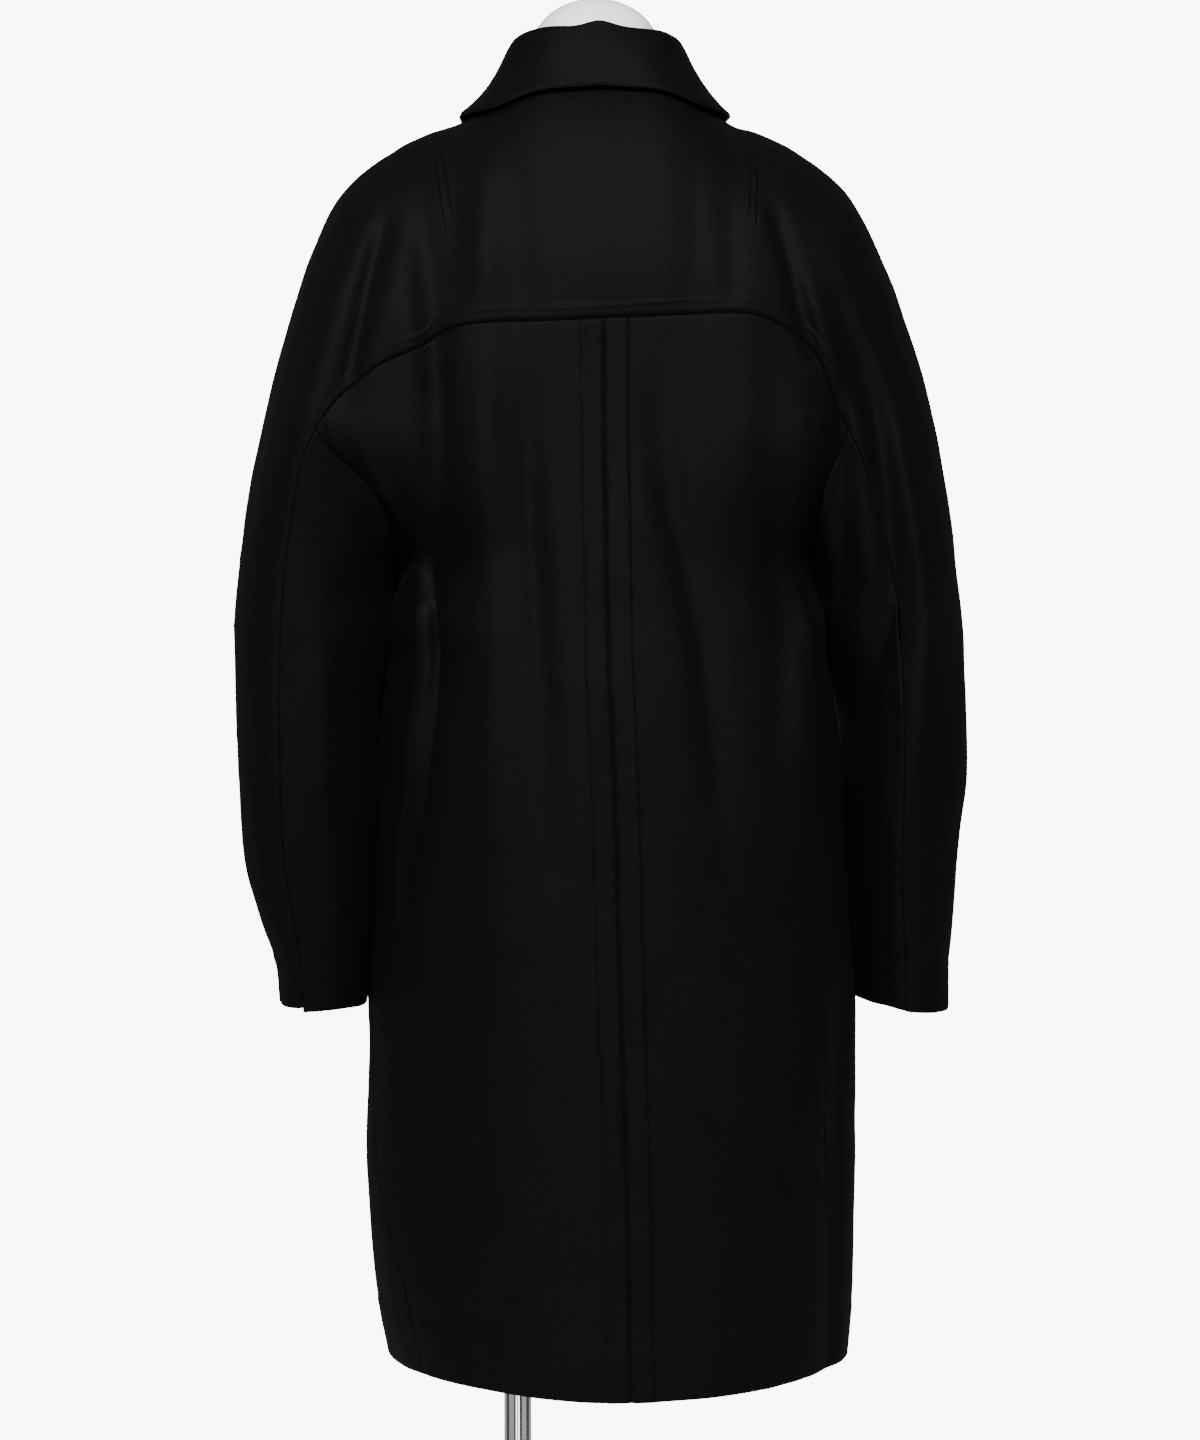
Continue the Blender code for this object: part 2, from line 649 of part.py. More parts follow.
def pulled(points):
    """The outermost rows and columns drawn in by half a seam's gap, square to the seam."""
    moved = points.copy()
    for edge, beside in ((0, 1), (-1, -2)):
        for line, own, near in (
            (moved[edge], points[edge], points[beside]),
            (moved[:, edge], points[:, edge], points[:, beside]),
        ):
            along = np.gradient(own, axis=0)
            along /= np.linalg.norm(along, axis=-1, keepdims=True)
            way = near - own
            way -= along * np.sum(way * along, axis=-1, keepdims=True)
            line += HALF_SEAM * way / np.linalg.norm(way, axis=-1, keepdims=True)
    return moved


def split_quad(points, quad):
    """Two triangles, cut along the shorter diagonal, so that both faces of the cloth bend alike."""
    a, b, c, d = quad
    if np.linalg.norm(points[a] - points[c]) <= np.linalg.norm(points[b] - points[d]):
        return (a, b, c), (a, c, d)
    return (a, b, d), (b, c, d)


def wall(piece):
    """The outer face, the inner face one thickness inside it, and the cut edges between."""
    others = [other for other in cloths if other is not piece]
    normals = shared_normals(piece, others)
    depths = np.zeros(piece.outer.shape[:2])
    if piece.set_back:
        depths = np.apply_along_axis(piece.set_back, 2, piece.outer)
    outer = pulled(piece.outer - depths[..., None] * normals)
    inner = pulled(piece.outer - (depths[..., None] + piece.thick) * normals)
    rows, columns = outer.shape[:2]
    points = np.concatenate((outer.reshape(-1, 3), inner.reshape(-1, 3)))
    below = rows * columns
    faces = []
    for r in range(rows - 1):
        for c in range(columns - 1):
            a, b = r * columns + c, r * columns + c + 1
            for triangle in split_quad(points, (a, b, b + columns, a + columns)):
                faces.append(triangle)
                faces.append(tuple(i + below for i in triangle)[::-1])
    rim = [r * columns + c for r, c in rim_places(rows, columns)]
    for a, b in zip(rim, rim[1:] + rim[:1]):
        faces.append((a, a + below, b + below, b))
    if piece.outward < 0:
        faces = [face[::-1] for face in faces]
    return mesh_object(piece.name, points, faces, piece.surface_material)


def even(count):
    return np.linspace(0, 1, count)


def turned(name, profile, segments, surface_material, centre=(0, 0, 0)):
    """A solid turned about an upright axis from (radius, height) points, closed at both ends of the axis."""
    points = [(0, 0, profile[0][1])]
    for radius, height in profile:
        for i in range(segments):
            angle = 2 * math.pi * i / segments
            points.append((radius * math.cos(angle), radius * math.sin(angle), height))
    points.append((0, 0, profile[-1][1]))
    faces = []
    for i in range(segments):
        j = (i + 1) % segments
        faces.append((0, 1 + j, 1 + i))
        for k in range(len(profile) - 1):
            low, high = 1 + k * segments, 1 + (k + 1) * segments
            faces.append((low + i, low + j, high + j, high + i))
        high = 1 + (len(profile) - 1) * segments
        faces.append((high + i, high + j, len(points) - 1))
    made = mesh_object(name, points, faces, surface_material)
    made.location = centre
    return made


def form_ring(z, half_width, back, front, middle_y, segments):
    """One level of the dress form, a little squarer than an ellipse."""
    ring = []
    for i in range(segments):
        angle = 2 * math.pi * i / segments
        depth = back - middle_y if math.cos(angle) > 0 else middle_y - front
        x = half_width * power(math.sin(angle), 2 / 2.15)
        ring.append((x, middle_y + depth * power(math.cos(angle), 2 / 2.15), z))
    return ring


def form_rings(segments):
    """The torso's levels, then the shoulders just inside the coat's, then the neck and its domed top."""
    rings = [form_ring(*level, segments) for level in FORM_LEVELS]
    for x, depth in zip(FORM_SHOULDER_X, FORM_SHOULDER_DEPTHS):
        u = station_above(x)
        _, edge_z, _, _ = station(u)
        here, there = station(u + 0.1), station(u - 0.1)
        slope = math.atan2(there[1] - here[1], here[0] - there[0])
        z = edge_z - (CLOTH + FORM_SEAT_GAP) / math.cos(slope)
        rings.append(form_ring(z, x, depth - 0.010, -depth - 0.010, -0.010, segments))
    for z, half_width, depth in NECK_LEVELS:
        rings.append(form_ring(z, half_width, NECK_FORM_Y + depth, NECK_FORM_Y - depth, NECK_FORM_Y, segments))
    height = NECK_TOP_Z - NECK_DOME_Z
    for degrees in (0, 18, 36, 52, 66, 78):
        radius = NECK_RADIUS * math.cos(math.radians(degrees))
        z = NECK_DOME_Z + height * math.sin(math.radians(degrees))
        depth = 0.97 * radius
        rings.append(form_ring(z, radius, NECK_FORM_Y + depth, NECK_FORM_Y - depth, NECK_FORM_Y, segments))
    return rings


def dress_form(surface_material, segments=32):
    rings = form_rings(segments)
    points = [(0, 0, rings[0][0][2])]
    for ring in rings:
        points += ring
    points.append((0, NECK_FORM_Y, NECK_TOP_Z))
    faces = []
    for i in range(segments):
        j = (i + 1) % segments
        faces.append((0, 1 + i, 1 + j))
        for k in range(len(rings) - 1):
            low, high = 1 + k * segments, 1 + (k + 1) * segments
            faces.append((low + j, low + i, high + i, high + j))
        high = 1 + (len(rings) - 1) * segments
        faces.append((high + j, high + i, len(points) - 1))
    return mesh_object("dress_form", points, faces, surface_material)


def pole_and_base(steel):
    """The plate on the floor, its socket, the pole, and the flange under the form."""
    edge = 0.0015
    turned(
        "base_plate",
        (
            (BASE_RADIUS - edge, 0),
            (BASE_RADIUS, edge),
            (BASE_RADIUS, BASE_THICK - 2 * edge),
            (BASE_RADIUS - 2 * edge, BASE_THICK),
        ),
        48,
        steel,
    )
    socket_low = BASE_THICK + FIT_GAP
    socket_high = socket_low + 0.034
    turned(
        "pole_socket",
        ((0.030, socket_low), (0.030, socket_low + 0.005), (0.0175, socket_low + 0.008), (0.0165, socket_high)),
        24,
        steel,
        (POLE_X, POLE_Y, 0),
    )
    form_low = FORM_LEVELS[0].z
    flange_low = form_low - FIT_GAP - 0.022
    turned(
        "pole",
        ((POLE_RADIUS, socket_high + FIT_GAP), (POLE_RADIUS, flange_low - FIT_GAP)),
        24,
        steel,
        (POLE_X, POLE_Y, 0),
    )
    turned(
        "pole_flange",
        ((0.0165, flange_low), (0.0175, flange_low + 0.014), (0.032, flange_low + 0.017), (0.032, form_low - FIT_GAP)),
        24,
        steel,
        (POLE_X, POLE_Y, 0),
    )


def button(number, height, surface_material):
    """A turned button with a raised rim, lying on the right front at centre front."""
    surface = body_panel(-1, False) if height < 1.2 else front_yoke(-1)
    best = None
    for across in np.linspace(0.0, 0.3, 61):
        for along in np.linspace(0.2, 1.0, 161):
            point = surface(across, along)
            far = math.hypot(point[0], point[2] - height)
            if best is None or far < best[0]:
                best = (far, across, along, point)
    _, across, along, point = best
    normal = normal_at(surface, across, along)
    normal *= -1 if normal[1] > 0 else 1
    rim = BUTTON_RADIUS
    made = turned(
        f"button_{number}",
        (
            (rim * 0.80, 0.0),
            (rim, 0.0012),
            (rim, BUTTON_THICK - 0.0008),
            (rim * 0.92, BUTTON_THICK),
            (rim * 0.78, BUTTON_THICK - 0.0003),
            (rim * 0.66, BUTTON_THICK - 0.0014),
        ),
        24,
        surface_material,
    )
    turn = np.array((0, 0, 1.0))
    axis = np.cross(turn, normal)
    angle = math.acos(float(np.dot(turn, normal)))
    made.rotation_mode = "AXIS_ANGLE"
    made.rotation_axis_angle = (angle, *(axis / np.linalg.norm(axis)))
    made.location = point + normal * (FIT_GAP + 0.0005)
    return made


def neck_stations(steps=6):
    """Stations whose edge lies under the neckline, closer together towards its side."""
    return [station_above(NECK_HALF_X * math.sin(math.pi / 2 * i / steps)) for i in range(steps + 1)]


def sleeve_stations(side, alongs):
    """Stations of the sleeve's seam at the rows of the under sleeve, from its top down."""
    stops = np.linspace(ARMHOLE_STATION, LAST_STATION, 901)
    heights = np.array([station(side * u)[3] for u in stops])
    rows = [under_sleeve(side)(0.0, along)[2] for along in alongs]
    return [float(np.interp(-z, -heights, stops)) for z in rows[::-1]][1:]


def coat():
    melton = material("black_wool_melton", (0.010, 0.010, 0.011), 0.92)
    horn = material("black_horn_button", (0.012, 0.011, 0.010), 0.35)
    turns = np.array(YOKE_TURNS)
    body_stations = neck_stations() + list(np.linspace(2.15, ARMHOLE_STATION, 11))
    armhole = even(7)
    armhole_heights = UNDERARM_Z + (ARMHOLE_TOP_Z - UNDERARM_Z) * armhole
    body_alongs = np.concatenate((np.linspace(HEM_Z, UNDERARM_Z, 12), armhole_heights[1:])) - HEM_Z
    body_alongs /= ARMHOLE_TOP_Z - HEM_Z
    sleeve_alongs = even(12)
    sleeves = {side: sleeve_stations(side, sleeve_alongs) for side in (1, -1)}
    across_back = [-u for u in (body_stations + sleeves[-1])[:0:-1]] + body_stations + sleeves[1]
    cloth("back_yoke_and_sleeves", back_yoke, across_back, turns, -1, melton)
    for side, word in ((1, "left"), (-1, "right")):
        across_front = [-WRAP / 0.045, -WRAP / 0.09] + body_stations
        under = underlap if side > 0 else None
        sleeve_front = across_front + sleeves[side]
        name = f"front_yoke_and_sleeve_{word}"
        cloth(name, front_yoke(side), sleeve_front, turns, side, melton, set_back=under)
        for back, place, stops in ((True, "back", body_stations), (False, "front", across_front)):
            shares = [station_share(side, back, u) for u in stops]
            facing = -side if back else side
            deep = None if back else under
            cloth(f"{place}_{word}", body_panel(side, back), shares, body_alongs, facing, melton, set_back=deep)
        half = (1 - armhole) / 2
        arounds = np.concatenate((half[::-1], 1 - half[1:]))
        cloth(f"under_sleeve_{word}", under_sleeve(side), sorted(arounds), sleeve_alongs, side, melton)
    cloth("collar_stand", collar_stand, even(33), even(3), 1, melton, COLLAR_CLOTH)
    cloth("collar", collar_fall, even(37), even(9), -1, melton, COLLAR_CLOTH)
    for piece in cloths:
        wall(piece)
    for number, height in enumerate(BUTTON_HEIGHTS, start=1):
        button(number, height, horn)


def stand():
    white = material("white_form_shell", (0.78, 0.77, 0.75), 0.45)
    steel = material("polished_steel", (0.72, 0.72, 0.74), 0.16, 1.0)
    dress_form(white)
    pole_and_base(steel)


for old in list(bpy.data.objects):
    bpy.data.objects.remove(old)
coat()
stand()
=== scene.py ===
import bisect
import math
from collections import namedtuple
from math import cos, pi, radians, sin

import bpy
import numpy as np
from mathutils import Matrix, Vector
from numpy.linalg import norm


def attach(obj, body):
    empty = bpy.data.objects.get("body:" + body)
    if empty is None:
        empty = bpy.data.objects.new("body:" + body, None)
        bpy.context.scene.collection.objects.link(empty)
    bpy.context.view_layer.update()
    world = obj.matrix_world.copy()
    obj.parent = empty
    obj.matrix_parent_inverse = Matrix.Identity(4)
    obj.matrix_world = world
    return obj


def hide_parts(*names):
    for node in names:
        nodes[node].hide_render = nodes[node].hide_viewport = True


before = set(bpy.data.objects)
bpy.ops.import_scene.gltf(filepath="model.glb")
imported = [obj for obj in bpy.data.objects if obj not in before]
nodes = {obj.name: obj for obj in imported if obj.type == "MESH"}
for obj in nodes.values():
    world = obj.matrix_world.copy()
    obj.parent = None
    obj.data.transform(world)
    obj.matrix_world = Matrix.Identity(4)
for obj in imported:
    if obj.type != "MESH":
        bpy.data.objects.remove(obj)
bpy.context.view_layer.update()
scene = bpy.context.scene
print("frame loaded", len(nodes), "nodes")

# Camera: 3.3 m behind the coat, 1.2 m up, turned 3 degrees, pitched down a little
viewFrom = {"distance": 3.3, "height": 1.20, "turn": 3.0, "pitch": 4.746, "focal": 4161, "axis": 596}
picture = {"middle": 600, "longSide": 1440, "sensor": 36}  # pixels, pixels, millimetres


def linked(name, data):
    made = bpy.data.objects.new(name, data)
    scene.collection.objects.link(made)
    return made


def makeCamera():
    data = bpy.data.cameras.new("camera")
    data.sensor_width = picture["sensor"]
    data.lens = viewFrom["focal"] * picture["sensor"] / picture["longSide"]
    data.shift_x = (picture["middle"] - viewFrom["axis"]) / picture["longSide"]
    camera = linked("camera", data)
    turn, pitch = radians(viewFrom["turn"]), radians(viewFrom["pitch"])
    away = viewFrom["distance"]
    camera.location = (away * sin(turn), away * cos(turn), viewFrom["height"])
    aim = Vector((-sin(turn) * cos(pitch), -cos(turn) * cos(pitch), -sin(pitch)))
    camera.rotation_euler = aim.to_track_quat("-Z", "Y").to_euler()
    scene.camera = camera


makeCamera()

# The coat's form: the same sizes as its solids
clothThick = 0.0020
seamLap = 0.0003
underlapDepth = 0.0032
wrapWidth = 0.030
hemZ, hemRise = 0.410, 0.0065
underarmZ, armholeTopZ = 1.030, 1.158
lastStation, armholeStation = 17, 8
armholeEnd = radians(48)
neckSizes = {"midY": -0.014, "halfX": 0.076, "halfY": 0.066, "frontDrop": 0.067, "frontReach": 0.100}


def rowsOf(kind, *rows):
    return [kind(*row) for row in rows]


# The shoulder and sleeve from the neck out: the outer edge (x, z) and the yoke or sleeve seam under it (x, z)
Station = namedtuple("Station", "edgeX edgeZ seamX seamZ")
leftStations = rowsOf(
    Station,
    (0, 1.452, 0, 1.243),
    (0.045, 1.448, 0.045, 1.241),
    (0.083, 1.417, 0.083, 1.24),
    (0.106, 1.3968, 0.106, 1.238),
    (0.132, 1.3883, 0.124, 1.232),
    (0.16, 1.374, 0.137, 1.222),
    (0.199, 1.3435, 0.172, 1.207),
    (0.2275, 1.286, 0.203, 1.182),
    (0.247, 1.225, 0.22, 1.158),
    (0.2615, 1.168, 0.23, 1.136),
    (0.274, 1.11, 0.237, 1.1),
    (0.2855, 1.029, 0.246, 1.03),
    (0.2875, 0.965, 0.249, 0.965),
    (0.2855, 0.889, 0.249, 0.889),
    (0.2805, 0.815, 0.246, 0.815),
    (0.2675, 0.764, 0.238, 0.764),
    (0.2555, 0.728, 0.234, 0.728),
    (0.253, 0.7, 0.233, 0.702),
)
rightStations = rowsOf(
    Station,
    (0, 1.452, 0, 1.243),
    (0.045, 1.448, 0.045, 1.245),
    (0.083, 1.417, 0.083, 1.247),
    (0.106, 1.3968, 0.106, 1.247),
    (0.13, 1.3888, 0.122, 1.244),
    (0.16, 1.3735, 0.138, 1.237),
    (0.199, 1.342, 0.157, 1.225),
    (0.229, 1.286, 0.172, 1.2),
    (0.252, 1.225, 0.188, 1.158),
    (0.2685, 1.168, 0.203, 1.132),
    (0.279, 1.11, 0.215, 1.098),
    (0.29, 1.029, 0.229, 1.03),
    (0.295, 0.965, 0.234, 0.965),
    (0.2985, 0.889, 0.236, 0.889),
    (0.293, 0.825, 0.237, 0.825),
    (0.289, 0.768, 0.24, 0.768),
    (0.285, 0.728, 0.243, 0.73),
    (0.2845, 0.691, 0.245, 0.695),
)
SleeveLevel = namedtuple("SleeveLevel", "z back front leftMiddle rightMiddle leftInner rightInner")
sleeveLevels = rowsOf(
    SleeveLevel,
    (0.69, 0.035, -0.081, -0.01, -0.034, 0.187, 0.211),
    (0.74, 0.045, -0.09, 0, -0.042, 0.1835, 0.2065),
    (0.8, 0.061, -0.102, 0.01, -0.048, 0.18, 0.202),
    (0.87, 0.076, -0.11, 0.018, -0.052, 0.1765, 0.1985),
    (0.95, 0.086, -0.114, 0.018, -0.048, 0.1735, 0.193),
    (0.98, 0.088, -0.115, 0.018, -0.036, 0.169, 0.184),
    (1, 0.09, -0.115, 0.011, -0.022, 0.1655, 0.1795),
    (1.03, 0.092, -0.114, -0.004, -0.004, 0.16, 0.174),
    (1.08, 0.097, -0.113, -0.004, -0.004, 0.14, 0.156),
    (1.12, 0.101, -0.114, -0.004, -0.004, 0.125, 0.138),
    (1.158, 0.105, -0.116, -0.004, -0.004, 0.115, 0.128),
)
bodyFields = "z middleX left right back front leftMiddle rightMiddle leftSeam rightSeam roundness"
BodyLevel = namedtuple("BodyLevel", bodyFields)
bodyLevels = rowsOf(
    BodyLevel,
    (0.41, -0.019, 0.166, 0.202, 0.15, -0.15, -0.01, 0, 58, 66, 2.05),
    (0.48, -0.018, 0.1775, 0.207, 0.151, -0.152, -0.014, 0.002, 61, 61, 2.1),
    (0.57, -0.016, 0.1825, 0.208, 0.151, -0.153, -0.02, 0.004, 73, 56, 2.15),
    (0.69, -0.0125, 0.18, 0.207, 0.15, -0.153, -0.034, 0.008, 80, 55, 2.2),
    (0.77, -0.01, 0.179, 0.199, 0.148, -0.152, -0.042, 0.01, 76, 58, 2.3),
    (0.85, -0.008, 0.177, 0.1945, 0.146, -0.151, -0.046, 0.012, 72, 62, 2.4),
    (0.93, -0.005, 0.174, 0.188, 0.143, -0.15, -0.044, 0.012, 72, 68, 2.4),
    (0.98, -0.003, 0.165, 0.179, 0.14, -0.149, -0.034, 0.01, 78, 78, 2.4),
    (1, -0.0025, 0.162, 0.1765, 0.138, -0.1485, -0.021, 0.004, 84, 84, 2.4),
    (1.03, -0.002, 0.16, 0.174, 0.136, -0.148, -0.004, -0.004, 90, 90, 2.4),
    (1.1, -0.001, 0.16, 0.174, 0.13, -0.146, -0.004, -0.004, 90, 90, 2.4),
    (1.17, 0, 0.16, 0.174, 0.123, -0.142, -0.004, -0.004, 90, 90, 2.4),
    (1.243, 0, 0.16, 0.174, 0.119, -0.138, -0.004, -0.004, 90, 90, 2.4),
)
foldFade = {"start": 0.016, "span": 0.070}
sharpDepth = -0.010  # valleys deeper than this have straighter sides

# A fold: its line (x, z) from the top down, half width, height, and the shares that start and end it
Fold = namedtuple("Fold", "line halfWidth height start end")
backFolds = rowsOf(
    Fold,
    # Left of the back: a soft valley, a narrow one below it, the arm's roll and the recess beside the sleeve.
    (((0.144, 1.39), (0.134, 1.3), (0.128, 1.2), (0.126, 1.1), (0.127, 1.02)),
        0.013, -0.0095, 0.3, 0.3),
    (((0.129, 1.12), (0.129, 1.06), (0.124, 0.981), (0.13, 0.907), (0.141, 0.833), (0.15, 0.74)),
        0.0078, -0.013, 0.3, 0.4),
    (((0.181, 1.16), (0.178, 1.125), (0.165, 1.094), (0.152, 1.063), (0.139, 0.998), (0.149, 0.927),
        (0.159, 0.842), (0.167, 0.74)), 0.0095, 0.011, 0.15, 0.4),
    (((0.181, 1.12), (0.175, 1.078), (0.168, 1.038), (0.161, 0.99), (0.169, 0.927), (0.173, 0.856),
        (0.178, 0.74)), 0.0085, -0.014, 0.25, 0.4),
    (((0.16, 0.93), (0.15, 0.8), (0.141, 0.66)), 0.01, -0.005, 0.35, 0.5),
    # The middle of the back.
    (((0.088, 1.31), (0.092, 1.15), (0.09, 1), (0.084, 0.74)), 0.015, 0.0055, 0.3, 0.5),
    (((0.06, 1.23), (0.057, 1.12), (0.05, 1), (0.042, 0.78)), 0.011, -0.006, 0.3, 0.5),
    (((-0.04, 1.23), (-0.05, 1.11), (-0.073, 1), (-0.097, 0.78)), 0.013, -0.007, 0.3, 0.5),
    (((-0.098, 1.32), (-0.105, 1.16), (-0.118, 1), (-0.132, 0.78)), 0.022, 0.0045, 0.3, 0.5),
    # Right of the back, and the skirt's side below the cuff.
    (((-0.15, 1.235), (-0.156, 1.11), (-0.161, 1.01), (-0.158, 0.78)), 0.02, 0.023, 0.6, 0.5),
    (((-0.182, 1.23), (-0.185, 1.125), (-0.189, 1.069), (-0.192, 1.012), (-0.196, 0.9)),
        0.011, -0.011, 0.25, 0.4),
    (((-0.19, 0.76), (-0.186, 0.6), (-0.183, 0.5), (-0.18, 0.405)), 0.0095, -0.01, 0.2, 0.05),
    # The yoke.
    (((0.067, 1.39), (0.061, 1.23)), 0.013, -0.003, 0.4, 0.25),
    (((0.094, 1.37), (0.09, 1.245)), 0.01, 0.0025, 0.3, 0.25),
    (((0.117, 1.36), (0.114, 1.235)), 0.012, -0.005, 0.4, 0.25),
    (((-0.066, 1.38), (-0.071, 1.23)), 0.014, -0.003, 0.4, 0.25),
    (((-0.094, 1.36), (-0.098, 1.24)), 0.011, -0.0035, 0.4, 0.25),
    # The right sleeve: a broad valley with a ridge outside it.
    (((-0.126, 1.35), (-0.142, 1.29), (-0.156, 1.236), (-0.172, 1.19)), 0.0075, -0.006, 0.3, 0.3),
    (((-0.15, 1.29), (-0.175, 1.22), (-0.198, 1.155), (-0.208, 1.1)), 0.008, 0.004, 0.3, 0.4),
    (((-0.158, 1.33), (-0.182, 1.26), (-0.208, 1.188), (-0.222, 1.097), (-0.226, 1.03),
        (-0.216, 0.955), (-0.203, 0.89), (-0.199, 0.775)), 0.014, -0.017, 0.3, 0.25),
    (((-0.156, 1.34), (-0.186, 1.266), (-0.215, 1.2), (-0.243, 1.083), (-0.255, 1.01),
        (-0.249, 0.927), (-0.24, 0.78)), 0.012, 0.006, 0.3, 0.4),
    # The left sleeve.
    (((0.16, 1.345), (0.178, 1.27), (0.19, 1.216), (0.201, 1.16)), 0.009, -0.0085, 0.3, 0.35),
    (((0.176, 1.34), (0.206, 1.251), (0.226, 1.17), (0.236, 1.08)), 0.011, 0.0045, 0.3, 0.4),
    (((0.21, 1.08), (0.214, 0.96), (0.206, 0.8)), 0.012, 0.0035, 0.4, 0.4),
)
frontFolds = rowsOf(
    Fold,
    (((0.12, 1.33), (0.13, 1.06), (0.15, 0.68)), 0.018, 0.02, 0.35, 0.5),
    (((0.08, 1.23), (0.086, 0.98), (0.092, 0.56)), 0.02, -0.006, 0.4, 0.5),
    (((-0.118, 1.33), (-0.132, 1.06), (-0.16, 0.68)), 0.018, 0.02, 0.35, 0.5),
    (((-0.076, 1.23), (-0.09, 0.96), (-0.104, 0.54)), 0.022, -0.007, 0.4, 0.5),
    (((0.176, 1.33), (0.206, 1.22), (0.222, 1.08), (0.226, 0.86)), 0.012, 0.008, 0.4, 0.4),
    (((-0.172, 1.33), (-0.204, 1.21), (-0.222, 1.07), (-0.228, 0.88)), 0.013, 0.009, 0.4, 0.4),
)


def curve(keys, values):
    keys, values = [float(k) for k in keys], [float(v) for v in values]
    slopes = [float(s) for s in np.gradient(values, keys)]

    def at(key):
        if key <= keys[0]:
            return values[0] + (key - keys[0]) * slopes[0]
        if key >= keys[-1]:
            return values[-1] + (key - keys[-1]) * slopes[-1]
        i = bisect.bisect_right(keys, key) - 1
        span = keys[i + 1] - keys[i]
        t = (key - keys[i]) / span
        start = values[i] * (2 * t**3 - 3 * t**2 + 1) + slopes[i] * span * (t**3 - 2 * t**2 + t)
        return start + values[i + 1] * (3 * t**2 - 2 * t**3) + slopes[i + 1] * span * (t**3 - t**2)

    return at


def columns(rows, key):
    ordered = sorted(rows, key=lambda row: getattr(row, key))
    keys = [getattr(row, key) for row in ordered]
    others = [name for name in rows[0]._fields if name != key]
    return {name: curve(keys, [getattr(row, name) for row in ordered]) for name in others}


def ease(t):
    t = min(1.0, max(0.0, t))
    return t * t * (3 - 2 * t)


def power(value, exponent):
    return math.copysign(abs(value) ** exponent, value)


def bySide(table, name):
    return {1: table["left" + name], -1: table["right" + name]}


sleeve = columns(sleeveLevels, "z")
body = columns(bodyLevels, "z")
wrapStop = wrapWidth / leftStations[1].edgeX
stationRows = {1: leftStations, -1: rightStations}
stationCurves = {
    side: [curve(range(lastStation + 1), [getattr(row, name) for row in rows]) for name in Station._fields]
    for side, rows in stationRows.items()
}
sleeveSeamX = {
    side: curve([row.seamZ for row in rows], [row.seamX for row in rows])
    for side, rows in ((1, leftStations[:armholeStation - 1:-1]), (-1, rightStations[:armholeStation - 1:-1]))
}
sleeveInnerX, sleeveMiddle = bySide(sleeve, "Inner"), bySide(sleeve, "Middle")
bodyMiddle, bodyReach, sideSeam = bySide(body, "Middle"), bySide(body, ""), bySide(body, "Seam")


# Stations count from the neck along shoulder and sleeve, left ones above 0 and right ones below
def station(u):
    side = 1 if u >= 0 else -1
    edgeX, edgeZ, seamX, seamZ = (at(abs(u)) for at in stationCurves[side])
    if abs(u) > armholeStation:
        seamX = sleeveSeamX[side](seamZ)
    return side * edgeX, edgeZ, side * seamX, seamZ


def sleeveInner(side, back, z, turn):
    seamX, innerX = sleeveSeamX[side](z), sleeveInnerX[side](z)
    middle, depth = sleeveMiddle[side](z), sleeve["back" if back else "front"](z)
    return side * (seamX + (innerX - seamX) * sin(turn)), middle + (depth - middle) * cos(turn)


def armholeTurn(z):
    return pi / 2 * min(1.0, max(0.0, (armholeTopZ - z) / (armholeTopZ - underarmZ)))


# A quarter of the body's outline at a height: middle, reach, sag and last angle of a rounded square
def bodyQuarter(side, back, z):
    depth, middleX = body["back" if back else "front"](z), body["middleX"](z)
    if z <= underarmZ:
        middle = bodyMiddle[side](z)
        return middle, bodyReach[side](z) - side * middleX, depth - middle, pi / 2
    level = min(z, armholeTopZ)
    turn = armholeTurn(level)
    endX, endY = sleeveInner(side, back, level, turn)
    end = armholeEnd + (pi / 2 - armholeEnd) * (turn / (pi / 2)) ** 3
    levelDepth = body["back" if back else "front"](level)
    root = 2 / body["roundness"](z)
    reach = abs(endX - middleX) / sin(end) ** root
    sag = (levelDepth - endY) / (1 - max(0.0, cos(end)) ** root)
    return depth - sag, reach, sag, end


def bodyPoint(side, back, z, angle):
    if angle > pi / 2:
        return bodyPoint(side, not back, z, pi - angle)
    middle, reach, sag, _ = bodyQuarter(side, back, z)
    root = 2 / body["roundness"](z)
    x = body["middleX"](z) + side * reach * power(sin(angle), root)
    return x, middle + sag * max(0.0, cos(angle)) ** root


def bodyDepth(side, back, x, z):
    middle, reach, sag, _ = bodyQuarter(side, back, z)
    roundness = body["roundness"](z)
    angle = math.asin(min(1.0, abs(x - body["middleX"](z)) / reach) ** (roundness / 2))
    return middle + sag * cos(angle) ** (2 / roundness), angle


def seamDepth(u, back):
    side = 1 if u >= 0 else -1
    _, _, seamX, seamZ = station(u)
    if abs(u) <= armholeStation:
        return bodyDepth(side, back, seamX, seamZ)[0]
    return sleeve["back" if back else "front"](seamZ)


def edgeDepth(edgeZ):
    return -0.010 - 0.013 * ease((1.05 - edgeZ) / 0.35)


def frontDrop(x, back):
    return 0.0 if back else neckSizes["frontDrop"] * (1 - ease(abs(x) / neckSizes["frontReach"]))


# A point of yoke or sleeve: turn runs from the seam at 0 to the shoulder's edge at a quarter turn
def yokePoint(u, turn, back):
    edgeX, edgeZ, seamX, seamZ = station(u)
    edgeZ -= frontDrop(edgeX, back)
    share = sin(turn)
    edgeY = edgeDepth(edgeZ)
    y = edgeY + (seamDepth(u, back) - edgeY) * cos(turn)
    return np.array((seamX + (edgeX - seamX) * share, y, seamZ + (edgeZ - seamZ) * share))


